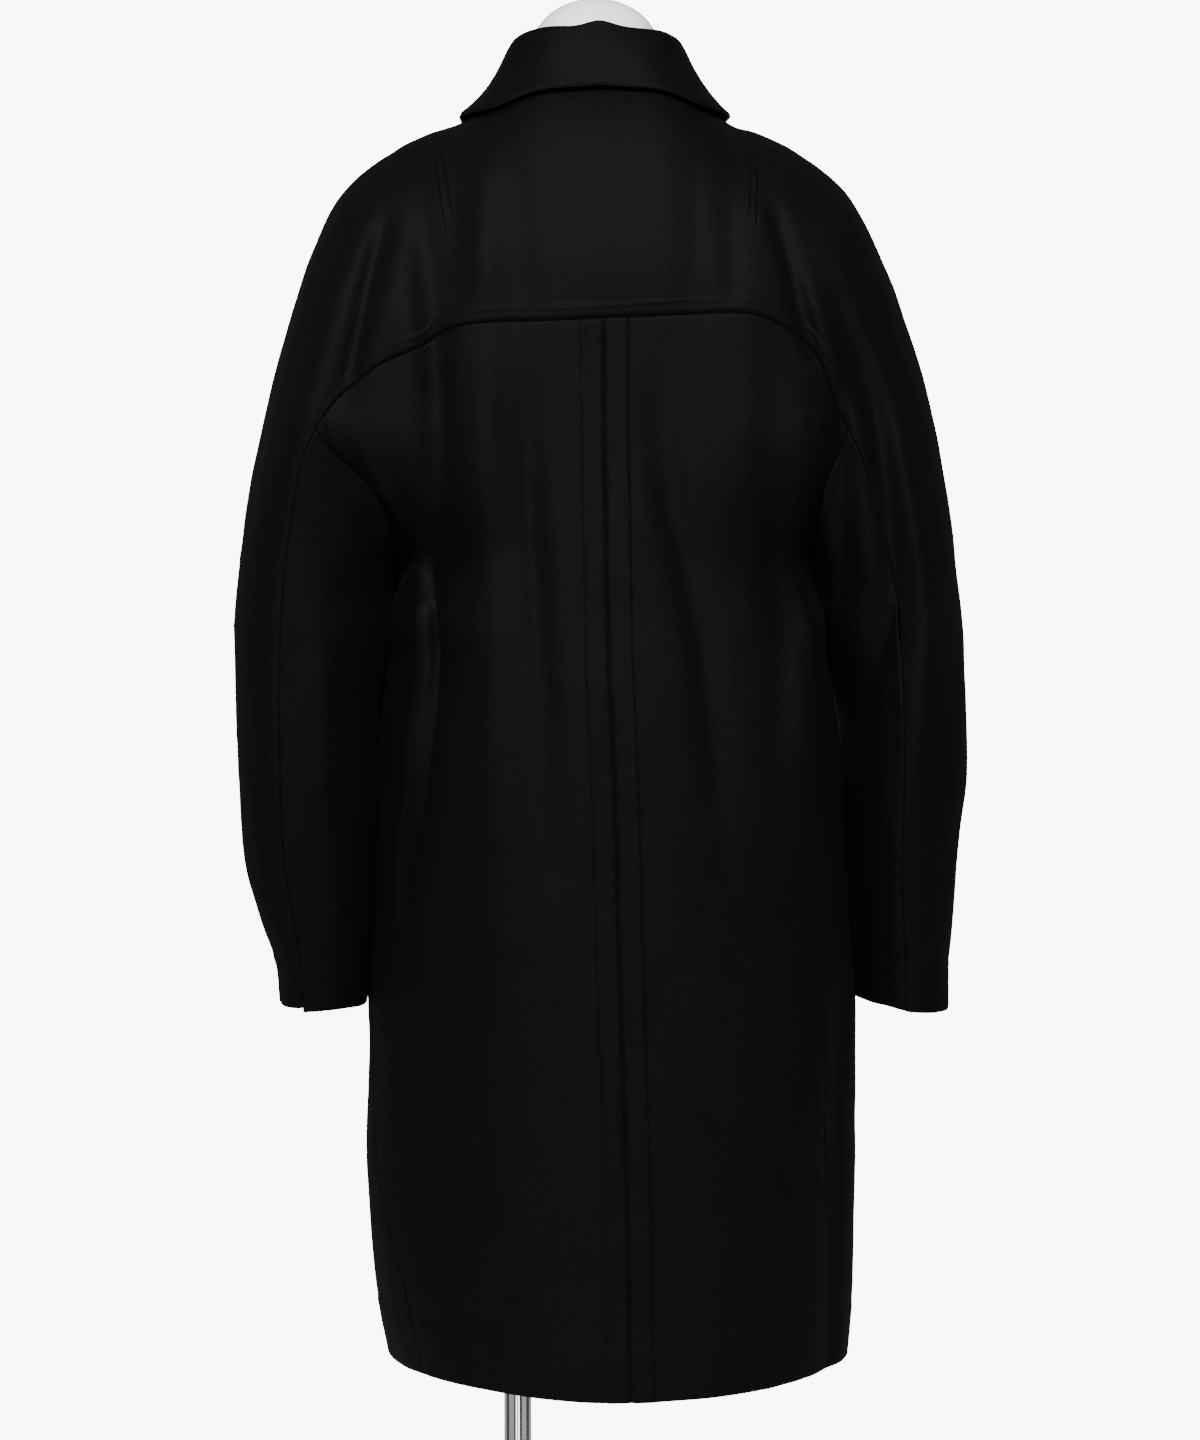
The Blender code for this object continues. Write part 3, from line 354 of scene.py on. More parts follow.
def neckTurn(u, back):
    edgeX, edgeZ, _, _ = station(u)
    share = abs(edgeX) / neckSizes["halfX"]
    if share >= 1:
        return pi / 2
    neckY = neckSizes["midY"] + (1 if back else -1) * neckSizes["halfY"] * math.sqrt(1 - share**2)
    edgeY = edgeDepth(edgeZ)
    return math.acos(min(1.0, max(0.0, (neckY - edgeY) / (seamDepth(u, back) - edgeY))))


shoulderStops = np.linspace(0, armholeStation, 401)
shoulderReach = np.array([station(u)[0] for u in shoulderStops])


def stationAbove(x):
    return float(np.interp(x, shoulderReach, shoulderStops))


def shoulderHeight(x, y):
    u = math.copysign(stationAbove(abs(x)), x)
    back = y > edgeDepth(1.4)
    edgeX, edgeZ, _, seamZ = station(u)
    edgeZ -= frontDrop(edgeX, back)
    edgeY = edgeDepth(edgeZ)
    part = (y - edgeY) / (seamDepth(u, back) - edgeY)
    return seamZ + (edgeZ - seamZ) * math.sqrt(max(0.0, 1 - part**2))


def backYoke(u, along):
    return yokePoint(u, along * neckTurn(u, True), True)


def frontYoke(side):
    return lambda u, along: yokePoint(side * u, along * neckTurn(side * u, False), False)


def wrapAngle(side, z):
    _, reach, _, _ = bodyQuarter(side, False, z)
    return math.asin((wrapWidth / reach) ** (body["roundness"](z) / 2))


def panelSpan(side, back, z):
    armhole = bodyQuarter(side, back, z)[3]
    low = radians(sideSeam[side](z)) if z < underarmZ else pi / 2
    if back:
        return 0.0, armhole if z > underarmZ else low
    return -wrapAngle(side, z), armhole if z > underarmZ else pi - low


def stationShare(side, back, u):
    _, _, seamX, seamZ = station(side * u)
    angle = math.copysign(bodyDepth(side, back, seamX, seamZ)[1], u)
    first, last = panelSpan(side, back, seamZ)
    return (angle - first) / (last - first)


topHeights = {}


def topHeight(side, back, share):
    if (side, back) not in topHeights:
        stops = np.linspace(0.0 if back else -wrapStop, armholeStation, 161)
        shares = np.array([stationShare(side, back, u) for u in stops])
        topHeights[side, back] = shares, np.array([station(side * u)[3] for u in stops])
    return float(np.interp(share, *topHeights[side, back]))


def bodyPanel(side, back):
    def surface(across, along):
        lowZ = hemZ + hemRise * ease(across if back else 1 - abs(1 - across))
        z = lowZ + (topHeight(side, back, across) - lowZ) * along
        first, last = panelSpan(side, back, z)
        x, y = bodyPoint(side, back, z, first + across * (last - first))
        return np.array((x, y, z))

    return surface


# Left and right cuff: height inside and outside, and where its slope starts
cuffSizes = {1: (0.700, 0.698, 0.19), -1: (0.701, 0.692, 0.21), "slope": 0.06, "z": 0.7}


def cuffHeight(side, x):
    innerZ, outerZ, slopeStart = cuffSizes[side]
    return innerZ + (outerZ - innerZ) * ease((abs(x) - slopeStart) / cuffSizes["slope"])


def underSleeve(side):
    def surface(across, along):
        back = across < 0.5
        turn = pi * (across if back else 1 - across)
        top = armholeTopZ - (armholeTopZ - underarmZ) * turn / (pi / 2)
        seamX, innerX = sleeveSeamX[side](cuffSizes["z"]), sleeveInnerX[side](cuffSizes["z"])
        low = cuffHeight(side, seamX + (innerX - seamX) * sin(turn))
        z = low + (top - low) * along
        x, y = sleeveInner(side, back, z, turn)
        return np.array((x, y, z))

    return surface


def neckEllipse(angle, halfX, halfY):
    return halfX * sin(angle), neckSizes["midY"] + halfY * cos(angle)


FoldLine = namedtuple("FoldLine", "angle halfX halfY z")
collarFoldRows = rowsOf(
    FoldLine,
    (0, 0.069, 0.064, 1.469),
    (30, 0.069, 0.064, 1.4685),
    (60, 0.0695, 0.065, 1.4625),
    (90, 0.0695, 0.065, 1.447),
    (120, 0.069, 0.065, 1.424),
    (150, 0.07, 0.0655, 1.396),
    (178, 0.07, 0.066, 1.379),
)
EdgePoint = namedtuple("EdgePoint", "angle x y lift")
collarEdgeRows = rowsOf(
    EdgePoint,
    (0, 0, 0.064, 0.006),
    (30, 0.046, 0.064, 0.006),
    (60, 0.087, 0.045, 0.0055),
    (90, 0.1065, 0, 0.0045),
    (120, 0.104, -0.048, 0.0045),
    (150, 0.086, -0.09, 0.005),
    (178, 0.054, -0.12, 0.007),
)
collarSizes = {"cloth": 0.003, "ease": 0.004, "peak": 0.005, "peakWidth": 0.2}
collarSizes.update(inset=0.0023, roll=0.0034, rollShare=0.3, hollow=0.06)
collarFold = columns(collarFoldRows, "angle")
collarRim = columns(collarEdgeRows, "angle")


def collarAngle(across):
    return radians(178) * (1 - 2 * across)


# The collar: its stand rises to the fold line, and the fall turns over it and down to the shoulders
def foldLine(angle):
    degrees = abs(math.degrees(angle))
    halfX, halfY, z = (collarFold[name](degrees) for name in ("halfX", "halfY", "z"))
    x, y = neckEllipse(angle, halfX, halfY)
    return np.array((x, y, z + collarSizes["peak"] * math.exp(-((angle / collarSizes["peakWidth"]) ** 2))))


def collarEdge(angle):
    degrees = abs(math.degrees(angle))
    x, y, lift = (collarRim[name](degrees) for name in ("x", "y", "lift"))
    x = math.copysign(x, angle)
    return np.array((x, y, shoulderHeight(x, y) + lift + collarSizes["cloth"]))


def collarStand(across, along):
    angle = collarAngle(across)
    halfX, halfY, inset = neckSizes["halfX"], neckSizes["halfY"], collarSizes["inset"]
    lowX, lowY = neckEllipse(angle, halfX - inset, halfY - inset)
    edgeX, edgeY = neckEllipse(angle, halfX, halfY)
    low = np.array((lowX, lowY, shoulderHeight(edgeX, edgeY) - 0.001))
    high = foldLine(angle) - np.array((0, 0, collarSizes["roll"] + collarSizes["cloth"] + 0.0005))
    return low + (high - low) * along


def collarFall(across, along):
    angle = collarAngle(across)
    top, edge = foldLine(angle), collarEdge(angle)
    outward = unit((edge - top) * (1, 1, 0))
    rollShare, roll = collarSizes["rollShare"], collarSizes["roll"]
    centre = top - np.array((0, 0, roll))
    if along < rollShare:
        turn = radians(-70) + radians(160) * along / rollShare
        return centre + roll * (outward * sin(turn) + np.array((0, 0, cos(turn))))
    start = centre + roll * outward
    t = (along - rollShare) / (1 - rollShare)
    point = start + (edge - start) * t - collarSizes["hollow"] * outward * sin(pi * t) * norm(edge - start)
    floor = shoulderHeight(point[0], point[1]) + collarSizes["cloth"] + 0.0015 + 0.003 * (1 - t)
    above = point[2] - floor
    point[2] = floor + (above + math.sqrt(above**2 + collarSizes["ease"] ** 2)) / 2
    return point


print("form ready")

# Fine grids over the form
fineSteps = {
    "pitch": 0.0034,
    "seam": (0.0007, 0.0015, 0.0025, 0.0038, 0.0055),
    "press": (-0.0045, -0.0022, -0.0008, 0.0004, 0.0016, 0.003),
}


def smooth(t):
    t = np.clip(t, 0, 1)
    return t * t * (3 - 2 * t)


def taps(t, count):
    i = np.clip(np.floor(t).astype(int), 0, count - 2)
    f = t - i
    first, last = -f / 2 + f**2 - f**3 / 2, f**3 / 2 - f**2 / 2
    return i, (first, 1 - 2.5 * f**2 + 1.5 * f**3, f / 2 + 2 * f**2 - 1.5 * f**3, last)


# Points of a grid at any rows and columns, whole or part, on a smooth surface through its points
def cubic(grid, rows, cols):
    padded = np.pad(grid, ((1, 1), (1, 1), (0, 0)), mode="reflect", reflect_type="odd")
    i, rowWeights = taps(rows, grid.shape[0])
    j, colWeights = taps(cols, grid.shape[1])
    total = 0
    for a in range(4):
        for b in range(4):
            total = total + (rowWeights[a] * colWeights[b])[..., None] * padded[i + a, j + b]
    return total


# Length run along each row of points from its start
def runs(points):
    steps = norm(np.diff(points, axis=1), axis=2)
    return np.concatenate((np.zeros((len(points), 1)), np.cumsum(steps, axis=1)), axis=1)


# Where the columns lie on each row: set distances from both its ends, and even steps between
def places(lengths, near, far, pitch):
    near, far = np.array((0.0, *near)), np.array((0.0, *far))
    count = max(2, int(round((lengths.mean() - near[-1] - far[-1]) / pitch)) + 1)
    share = np.minimum(1, 0.42 * lengths / max(near[-1], far[-1]))[:, None]
    low, high = share * near, lengths[:, None] - share * far[::-1]
    middle = low[:, -1:] + (high[:, :1] - low[:, -1:]) * np.linspace(0, 1, count)[1:-1]
    return np.concatenate((low, middle, high), axis=1)


# The base grid on rows and columns spaced in millimetres: ends holds the extra places inside each edge
def fineGrid(base, ends):
    rowsIn, colsIn = base.shape[:2]

    def spaced(grid, near, far):
        dense = np.linspace(0, grid.shape[1] - 1, 6 * (grid.shape[1] - 1) + 1)
        level = np.arange(grid.shape[0], dtype=float)
        length = runs(cubic(grid, level[:, None] + 0 * dense, dense + 0 * level[:, None]))
        wanted = places(length[:, -1], near, far, fineSteps["pitch"])
        return np.array([np.interp(w, s, dense) for w, s in zip(wanted, length)])

    across = spaced(base, ends["left"], ends["right"])
    along = spaced(base.transpose(1, 0, 2), ends["low"], ends["high"])
    rowCount, colCount = along.shape[1], across.shape[1]
    u, v = np.linspace(0, 1, colCount), np.linspace(0, 1, rowCount)
    cols = np.array([np.interp(v * (rowsIn - 1), np.arange(rowsIn), across[:, j]) for j in range(colCount)]).T
    share = cols / (colsIn - 1)
    rows = np.empty((rowCount, colCount))
    for i in range(rowCount):
        rows[i] = np.interp(share[i] * (colsIn - 1), np.arange(colsIn), along[:, i])
    for i in range(rowCount):
        for j in (0, colCount - 1):
            rows[i, j] = along[0 if j == 0 else -1, i]
    cols = np.array([np.interp(rows[:, j], np.arange(rowsIn), across[:, j]) for j in range(colCount)]).T
    return cubic(base, rows, cols)


def unit(ways):
    return ways / np.maximum(1e-12, norm(ways, axis=-1, keepdims=True))


def gridNormals(points, outward):
    return unit(np.cross(np.gradient(points, axis=1), np.gradient(points, axis=0)) * outward)


# Soft unevenness: waves of lengths between low and high in metres, as a function of points
def lumps(count, low, high, seed):
    dice = np.random.default_rng(seed)
    ways = unit(dice.normal(size=(count, 3)) * np.array((1.0, 1.0, 0.45)))
    ways *= 2 * pi / dice.uniform(low, high, size=(count, 1))
    phases = dice.uniform(0, 2 * pi, size=count)
    return lambda points: np.sin(points @ ways.T + phases).sum(axis=-1) / math.sqrt(count)


broadLumps = lumps(14, 0.070, 0.190, 3)
smallLumps = lumps(16, 0.022, 0.050, 5)
puckers = lumps(14, 0.009, 0.020, 9)


# How far the folds move each point along Y
def foldShift(points):
    x, y, z = points[..., 0], points[..., 1], points[..., 2]
    shift = np.zeros(x.shape)
    start, span = foldFade["start"], foldFade["span"]
    for way, folds in ((1, backFolds), (-1, frontFolds)):
        facing = smooth((way * y - start) / span)
        for fold in folds:
            spots, heights = zip(*sorted(fold.line, key=lambda p: p[1]))
            line = curve(heights, spots)
            low, top = heights[0], heights[-1]
            levels = np.linspace(low, top, 200)
            middle = np.interp(z, levels, [line(level) for level in levels])
            lean = np.interp(z, heights, np.gradient(spots, heights))
            off = (x - middle) / np.sqrt(1 + lean**2) / fold.halfWidth
            shape = np.exp(-off * off)
            if way > 0 and fold.height < sharpDepth:
                shape = np.exp(0.5 - np.sqrt(off * off + 0.25))
            rise, fall = (z - low) / (fold.end * (top - low)), (top - z) / (fold.start * (top - low))
            shift += facing * fold.height * (smooth(rise) * smooth(fall)) * shape
    return shift


Sheet = namedtuple("Sheet", "name points normals outward thick edges under")
sheets = {}


# Works out one piece of cloth; edges says what its left, right, low and high edge are
def takeSheet(name, surface, acrosses, alongs, outward, thick, edges, under=None):
    edges = dict(zip(("left", "right", "low", "high"), edges))
    base = np.array([[surface(a, b) for a in acrosses] for b in alongs])
    ends = {edge: fineSteps["seam"] for edge in edges}
    for edge, facts in edges.items():
        width = facts.get("allowance")
        if width:
            wanted = (*fineSteps["seam"], *(width + step for step in fineSteps["press"]))
            ends[edge] = tuple(sorted(w for w in wanted if w > 0))
    points = fineGrid(base, ends)
    points[..., 1] += foldShift(points)
    sheets[name] = Sheet(name, points, gridNormals(points, outward), outward, thick, edges, under)


def rimPlaces(rows, cols):
    rim = [(0, c) for c in range(cols)] + [(r, cols - 1) for r in range(1, rows)]
    return rim + [(rows - 1, c) for c in range(cols - 2, -1, -1)] + [(r, 0) for r in range(rows - 2, 0, -1)]


# Turns the rim's normals to lean as the cloth sewn to it does, and eases them in over a few rows
def shareNormals(sheet, others):
    normals = sheet.normals.copy()
    rim = tuple(np.array(rimPlaces(*sheet.points.shape[:2])).T)
    own, spots = sheet.normals[rim], sheet.points[rim]
    total = own.copy()
    for other in others:
        far = tuple(np.array(rimPlaces(*other.points.shape[:2])).T)
        theirs = other.points[far]
        gaps = norm(spots[:, None] - theirs[None], axis=2)
        nearest = gaps.argmin(axis=1)
        near = gaps[np.arange(len(spots)), nearest] < 0.0035
        total += np.where(near[:, None], other.normals[far][nearest], 0)
    total /= norm(total, axis=1, keepdims=True)
    total /= np.maximum(0.6, (total * own).sum(axis=1, keepdims=True))
    normals[rim] = total
    return normals


def edgeRuns(points):
    across, along = runs(points), runs(points.transpose(1, 0, 2)).T
    return {"left": across, "right": across[:, -1:] - across, "low": along, "high": along[-1:] - along}


# Heights in metres of what the cloth shows over the form
reliefSizes = {
    "broad": 0.0008,
    "small": 0.00028,
    "pucker": 0.0003,
    "sideBulge": 0.0022,
    "underarm": 0.0030,
    "turnUp": 0.0005,
    "dip": 0.0009,
    "dipWidth": 0.0010,
}


def hill(values, middle, width):
    return np.exp(-(((values - middle) / width) ** 2))


# Height over the form of the outer and the inner face: seams, pressed allowances, edges and unevenness
def relief(sheet):
    points = sheet.points
    inner = reliefSizes["broad"] * broadLumps(points)
    if "yoke" not in sheet.name and "collar" not in sheet.name:
        z, side = points[..., 2], np.abs(sheet.normals[..., 0])
        low = smooth((1.03 - z) / 0.035) * smooth((z - 0.66) / 0.05)
        inner += reliefSizes["sideBulge"] * smooth((side - 0.7) / 0.2) * low
        inner += reliefSizes["underarm"] * smooth((side - 0.5) / 0.3) * hill(z, 1.008, 0.022)
    outer = inner + reliefSizes["small"] * smallLumps(points)
    for edge, distance in edgeRuns(points).items():
        facts = sheet.edges[edge]
        if facts["kind"] == "free":
            rounding = 0.45 * sheet.thick * (1 - smooth(distance / (0.9 * sheet.thick))) ** 1.6
            outer -= rounding
            inner += rounding
            width = facts.get("turned")
            if width:
                outer += reliefSizes["turnUp"] * (1 - smooth((distance - width) / 0.004))
                outer += reliefSizes["pucker"] * puckers(points) * hill(distance, width, 0.006)
            continue
        outer -= facts.get("dip", reliefSizes["dip"]) * hill(distance, 0, reliefSizes["dipWidth"])
        outer += reliefSizes["pucker"] * puckers(points) * np.exp(-distance / 0.0075)
        width = facts.get("allowance")
        if width:
            rise = facts["rise"] * (1 - smooth((np.abs(points[..., 0]) - 0.15) / 0.06))
            outer += rise * smooth(distance / 0.004) * (1 - smooth((distance - width + 0.0008) / 0.0022))
            outer += 0.5 * rise * hill(distance, width - 0.0006, 0.0012)
    return outer, inner


# The outermost rows and columns run on a little over the seam, so that no light shows through it
def lapped(points):
    moved = points.copy()
    for edge, beside in ((0, 1), (-1, -2)):
        for line, own, near in (
            (moved[edge], points[edge], points[beside]),
            (moved[:, edge], points[:, edge], points[:, beside]),
        ):
            along, way = unit(np.gradient(own, axis=0)), near - own
            line -= seamLap * unit(way - along * np.sum(way * along, axis=-1, keepdims=True))
    return moved


def meshFrom(name, points, faces, material):
    mesh = bpy.data.meshes.new(name)
    mesh.from_pydata(points.tolist() if hasattr(points, "tolist") else points, [], faces)
    mesh.materials.append(material)
    mesh.shade_smooth()
    return linked(name, mesh)


# The closed shell of one piece, and its flat area in square metres
def buildSheet(sheet, material):
    normals = shareNormals(sheet, [other for other in sheets.values() if other is not sheet])
    outer, inner = relief(sheet)
    depths = np.zeros(outer.shape)
    if sheet.under:
        depths = sheet.under(sheet.points)
    top = lapped(sheet.points + (outer - depths)[..., None] * normals)
    low = lapped(sheet.points + (inner - depths - sheet.thick)[..., None] * normals)
    rows, cols = top.shape[:2]
    a = (np.arange(rows - 1)[:, None] * cols + np.arange(cols - 1)).ravel()
    quads = np.stack((a, a + 1, a + 1 + cols, a + cols), axis=1)
    below = rows * cols
    rim = [r * cols + c for r, c in rimPlaces(rows, cols)]
    sides = [(i, i + below, j + below, j) for i, j in zip(rim, rim[1:] + rim[:1])]
    faces = quads.tolist() + (quads + below)[:, ::-1].tolist() + sides
    if sheet.outward < 0:
        faces = [face[::-1] for face in faces]
    points = np.concatenate((top.reshape(-1, 3), low.reshape(-1, 3)))
    made = meshFrom(sheet.name + "_cloth", points, faces, material)
    made.data.set_sharp_from_angle(angle=radians(60))
    doubled = norm(np.cross(top[1:, 1:] - top[:-1, :-1], top[1:, :-1] - top[:-1, 1:]), axis=2)
    return made, float(doubled.sum() / 2)


def colour(hexText):
    parts = [int(hexText[i : i + 2], 16) / 255 for i in (1, 3, 5)]
    return [c / 12.92 if c <= 0.04045 else ((c + 0.055) / 1.055) ** 2.4 for c in parts] + [1.0]


def newMaterial(name, **constants):
    made = bpy.data.materials.new(name)
    made.use_nodes = True
    shader = made.node_tree.nodes["Principled BSDF"]
    for key, value in constants.items():
        shader.inputs[key.replace("_", " ").title().replace("Ior", "IOR")].default_value = value
    return made, made.node_tree


def add(tree, kind, inputs=None, **settings):
    made = tree.nodes.new(kind if kind.startswith("Geometry") else "ShaderNode" + kind)
    for key, value in settings.items():
        setattr(made, key, value)
    for key, value in (inputs or {}).items():
        if isinstance(value, bpy.types.NodeSocket):
            tree.links.new(value, made.inputs[key])
        else:
            made.inputs[key].default_value = value
    return made


def stretched(tree, scale=(1, 1, 1)):
    coords = add(tree, "TexCoord")
    return add(tree, "Mapping", {"Vector": coords.outputs["Object"], "Scale": scale}).outputs[0]


def noise(tree, stretch, scale, detail, roughness):
    facts = {"Vector": stretched(tree, stretch), "Scale": scale, "Detail": detail, "Roughness": roughness}
    return add(tree, "TexNoise", facts).outputs["Fac"]


def remap(tree, value, low, high, toLow=0.0, toHigh=1.0, kind="LINEAR"):
    facts = {"Value": value, "From Min": low, "From Max": high, "To Min": toLow, "To Max": toHigh}
    return add(tree, "MapRange", facts, interpolation_type=kind).outputs[0]


def mixed(tree, share, one, other):
    one, other = (colour(tone) if isinstance(tone, str) else tone for tone in (one, other))
    return add(tree, "Mix", {0: share, 6: one, 7: other}, data_type="RGBA").outputs[2]


def maths(tree, kind, one, other):
    return add(tree, "Math", {0: one, 1: other}, operation=kind).outputs[0]


def vectors(tree, kind, inputs):
    return add(tree, "VectorMath", inputs, operation=kind).outputs


def wire(tree, base, normal, roughness=None):
    shader = tree.nodes["Principled BSDF"]
    for key, value in (("Base Color", base), ("Normal", normal), ("Roughness", roughness)):
        if value is not None:
            tree.links.new(value, shader.inputs[key])


def bump(tree, height, distance, strength=1.0, normal=None):
    facts = {"Height": height, "Distance": distance, "Strength": strength}
    if normal is not None:
        facts["Normal"] = normal
    return add(tree, "Bump", facts).outputs[0]


# Shoulder darts of the back yoke: each one's seam and the edge of its pressed fold, from top to tip (x, z)
dartPlaces = (
    ((0.129, 1.372), (0.1205, 1.308)),
    ((0.1225, 1.372), (0.115, 1.316)),
    ((-0.1225, 1.372), (-0.1175, 1.308)),
    ((-0.1165, 1.37), (-0.113, 1.318)),
)
dartWidth = 0.0016


# Depth of the dart lines, 0 off them and 1 in their middle, on the back of the yoke only; it sets both their
# bump and their painted shade
def dartLines(tree):
    place = add(tree, "SeparateXYZ", {"Vector": add(tree, "TexCoord").outputs["Object"]})
    flat = add(tree, "CombineXYZ", {"X": place.outputs["X"], "Z": place.outputs["Z"]}).outputs[0]
    behind = remap(tree, place.outputs["Y"], 0.0, 0.02)
    total = None
    for top, tip in dartPlaces:
        start, way = Vector((top[0], 0, top[1])), Vector((tip[0] - top[0], 0, tip[1] - top[1]))
        off = vectors(tree, "SUBTRACT", {0: flat, 1: start})[0]
        along = vectors(tree, "DOT_PRODUCT", {0: off, 1: way / way.length_squared})["Value"]
        share = add(tree, "Clamp", {"Value": along}).outputs[0]
        foot = vectors(tree, "SCALE", {0: way, "Scale": share})[0]
        far = vectors(tree, "DISTANCE", {0: off, 1: foot})["Value"]
        near = remap(tree, far, 0.0, dartWidth, 1.0, 0.0, "SMOOTHSTEP")
        line = maths(tree, "MULTIPLY", near, remap(tree, along, 1.0, 0.7))
        total = line if total is None else maths(tree, "MAXIMUM", total, line)
    return maths(tree, "MULTIPLY", total, behind)


# Felted wool, near black: a short nap that lies down the cloth, a little cloudy, with a few paler fibres, and
# painted shade along the dart lines
def woolMelton():
    made, tree = newMaterial(
        "black_wool_melton",
        roughness=0.66,
        sheen_weight=0.02,
        sheen_roughness=0.5,
        sheen_tint=colour("#a9acb4"),
        specular_ior_level=0.20,
    )
    nap = noise(tree, (1, 1, 0.45), 620, 4, 0.62)
    fibres = noise(tree, (1, 1, 0.16), 1500, 2, 0.55)
    clouds = noise(tree, (1, 1, 0.7), 26, 3, 0.55)
    shade = mixed(tree, remap(tree, clouds, 0.32, 0.68), "#101012", "#151517")
    felt = mixed(tree, remap(tree, nap, 0.30, 0.72), "#08080a", shade)
    lint = mixed(tree, remap(tree, fibres, 0.66, 0.82, 0.0, 0.35), felt, "#2c2d30")
    darts = dartLines(tree)
    # painted shade: the colour darkens towards near black along the dart creases
    paintedDartShade = mixed(tree, remap(tree, darts, 0.3, 1.0, 0.0, 0.4), lint, "#040405")
    soft = bump(tree, remap(tree, darts, 0.0, 1.0, 1.0, 0.0), 0.0012, 0.9, bump(tree, clouds, 0.0006, 0.5))
    rough = bump(tree, nap, 0.00045, 0.8, soft)
    wire(tree, paintedDartShade, bump(tree, fibres, 0.00018, 0.6, rough))
    return made


# Black horn: brown streaks that show where light grazes it, polished long ago, now a dull sheen
def horn():
    made, tree = newMaterial("black_horn", roughness=0.50, ior=1.5)
    streaks = noise(tree, (1, 1, 0.25), 160, 4, 0.6)
    brown = mixed(tree, remap(tree, streaks, 0.35, 0.7), "#0d0b0a", "#2a221d")
    wire(tree, brown, bump(tree, streaks, 0.00008, 0.5), remap(tree, streaks, 0.3, 0.7, 0.46, 0.60))
    return made


# Twisted black thread: matt, a touch paler where its ply turns to the light
def thread():
    made, tree = newMaterial("black_thread", roughness=0.7, sheen_weight=0.2)
    waves = {"Vector": stretched(tree), "Scale": 700.0, "Distortion": 1.0}
    twist = add(tree, "TexWave", waves, bands_direction="DIAGONAL").outputs["Fac"]
    wire(tree, mixed(tree, twist, "#0e0e10", "#26272a"), bump(tree, twist, 0.0001, 0.6))
    return made


# White glass-fibre shell, faintly mottled, rubbed and dusty in places
def formShell():
    made, tree = newMaterial("white_form_shell", roughness=0.45, ior=1.5)
    mottle = noise(tree, (1, 1, 1), 9, 4, 0.6)
    grain = noise(tree, (1, 1, 1), 380, 2, 0.5)
    white = mixed(tree, remap(tree, mottle, 0.35, 0.7), "#e9e8e5", "#dcdad5")
    wire(tree, white, bump(tree, grain, 0.00012, 0.4), remap(tree, mottle, 0.3, 0.7, 0.36, 0.55))
    return made


# Steel: brushed along one way for the plate, nearly mirror-bright for the tube, faintly marked
def steel(name, tone, roughness, brushed):
    made, tree = newMaterial(name, metallic=1.0, roughness=roughness)
    streaks = noise(tree, brushed, 260, 5, 0.65)
    marks = noise(tree, (1, 1, 1), 40, 4, 0.6)
    worn = remap(tree, streaks, 0.25, 0.75, 0.7 * roughness, 1.5 * roughness)
    wire(tree, mixed(tree, marks, tone, "#c3c5c8"), bump(tree, streaks, 0.00005, 0.35), worn)
    return made


wool = woolMelton()
print("materials ready")

# The coat's pieces, and what their edges are: sewn, pressed open under a seam, turned up, or plain
turnUps = {"hem": 0.042, "cuff": 0.036}
sewnEdge, yokeSeam = {"kind": "seam"}, {"kind": "seam", "dip": 0.0012}
pressedSeam = {**yokeSeam, "allowance": 0.0106, "rise": 0.0012}
centreSeam = {"kind": "seam", "dip": 0.0007, "allowance": 0.0172, "rise": 0.0010}
plainEdge = {"kind": "free"}
cuffEdge, hemEdge = {**plainEdge, "turned": turnUps["cuff"]}, {**plainEdge, "turned": turnUps["hem"]}


def underlap(points):
    return underlapDepth * (1 - smooth((points[..., 0] - wrapWidth - 0.006) / 0.05))


gridSteps = {"neck": 8, "shoulder": 20, "arm": 24, "turn": 13, "armhole": 9, "skirt": 24, "wrap": 4}


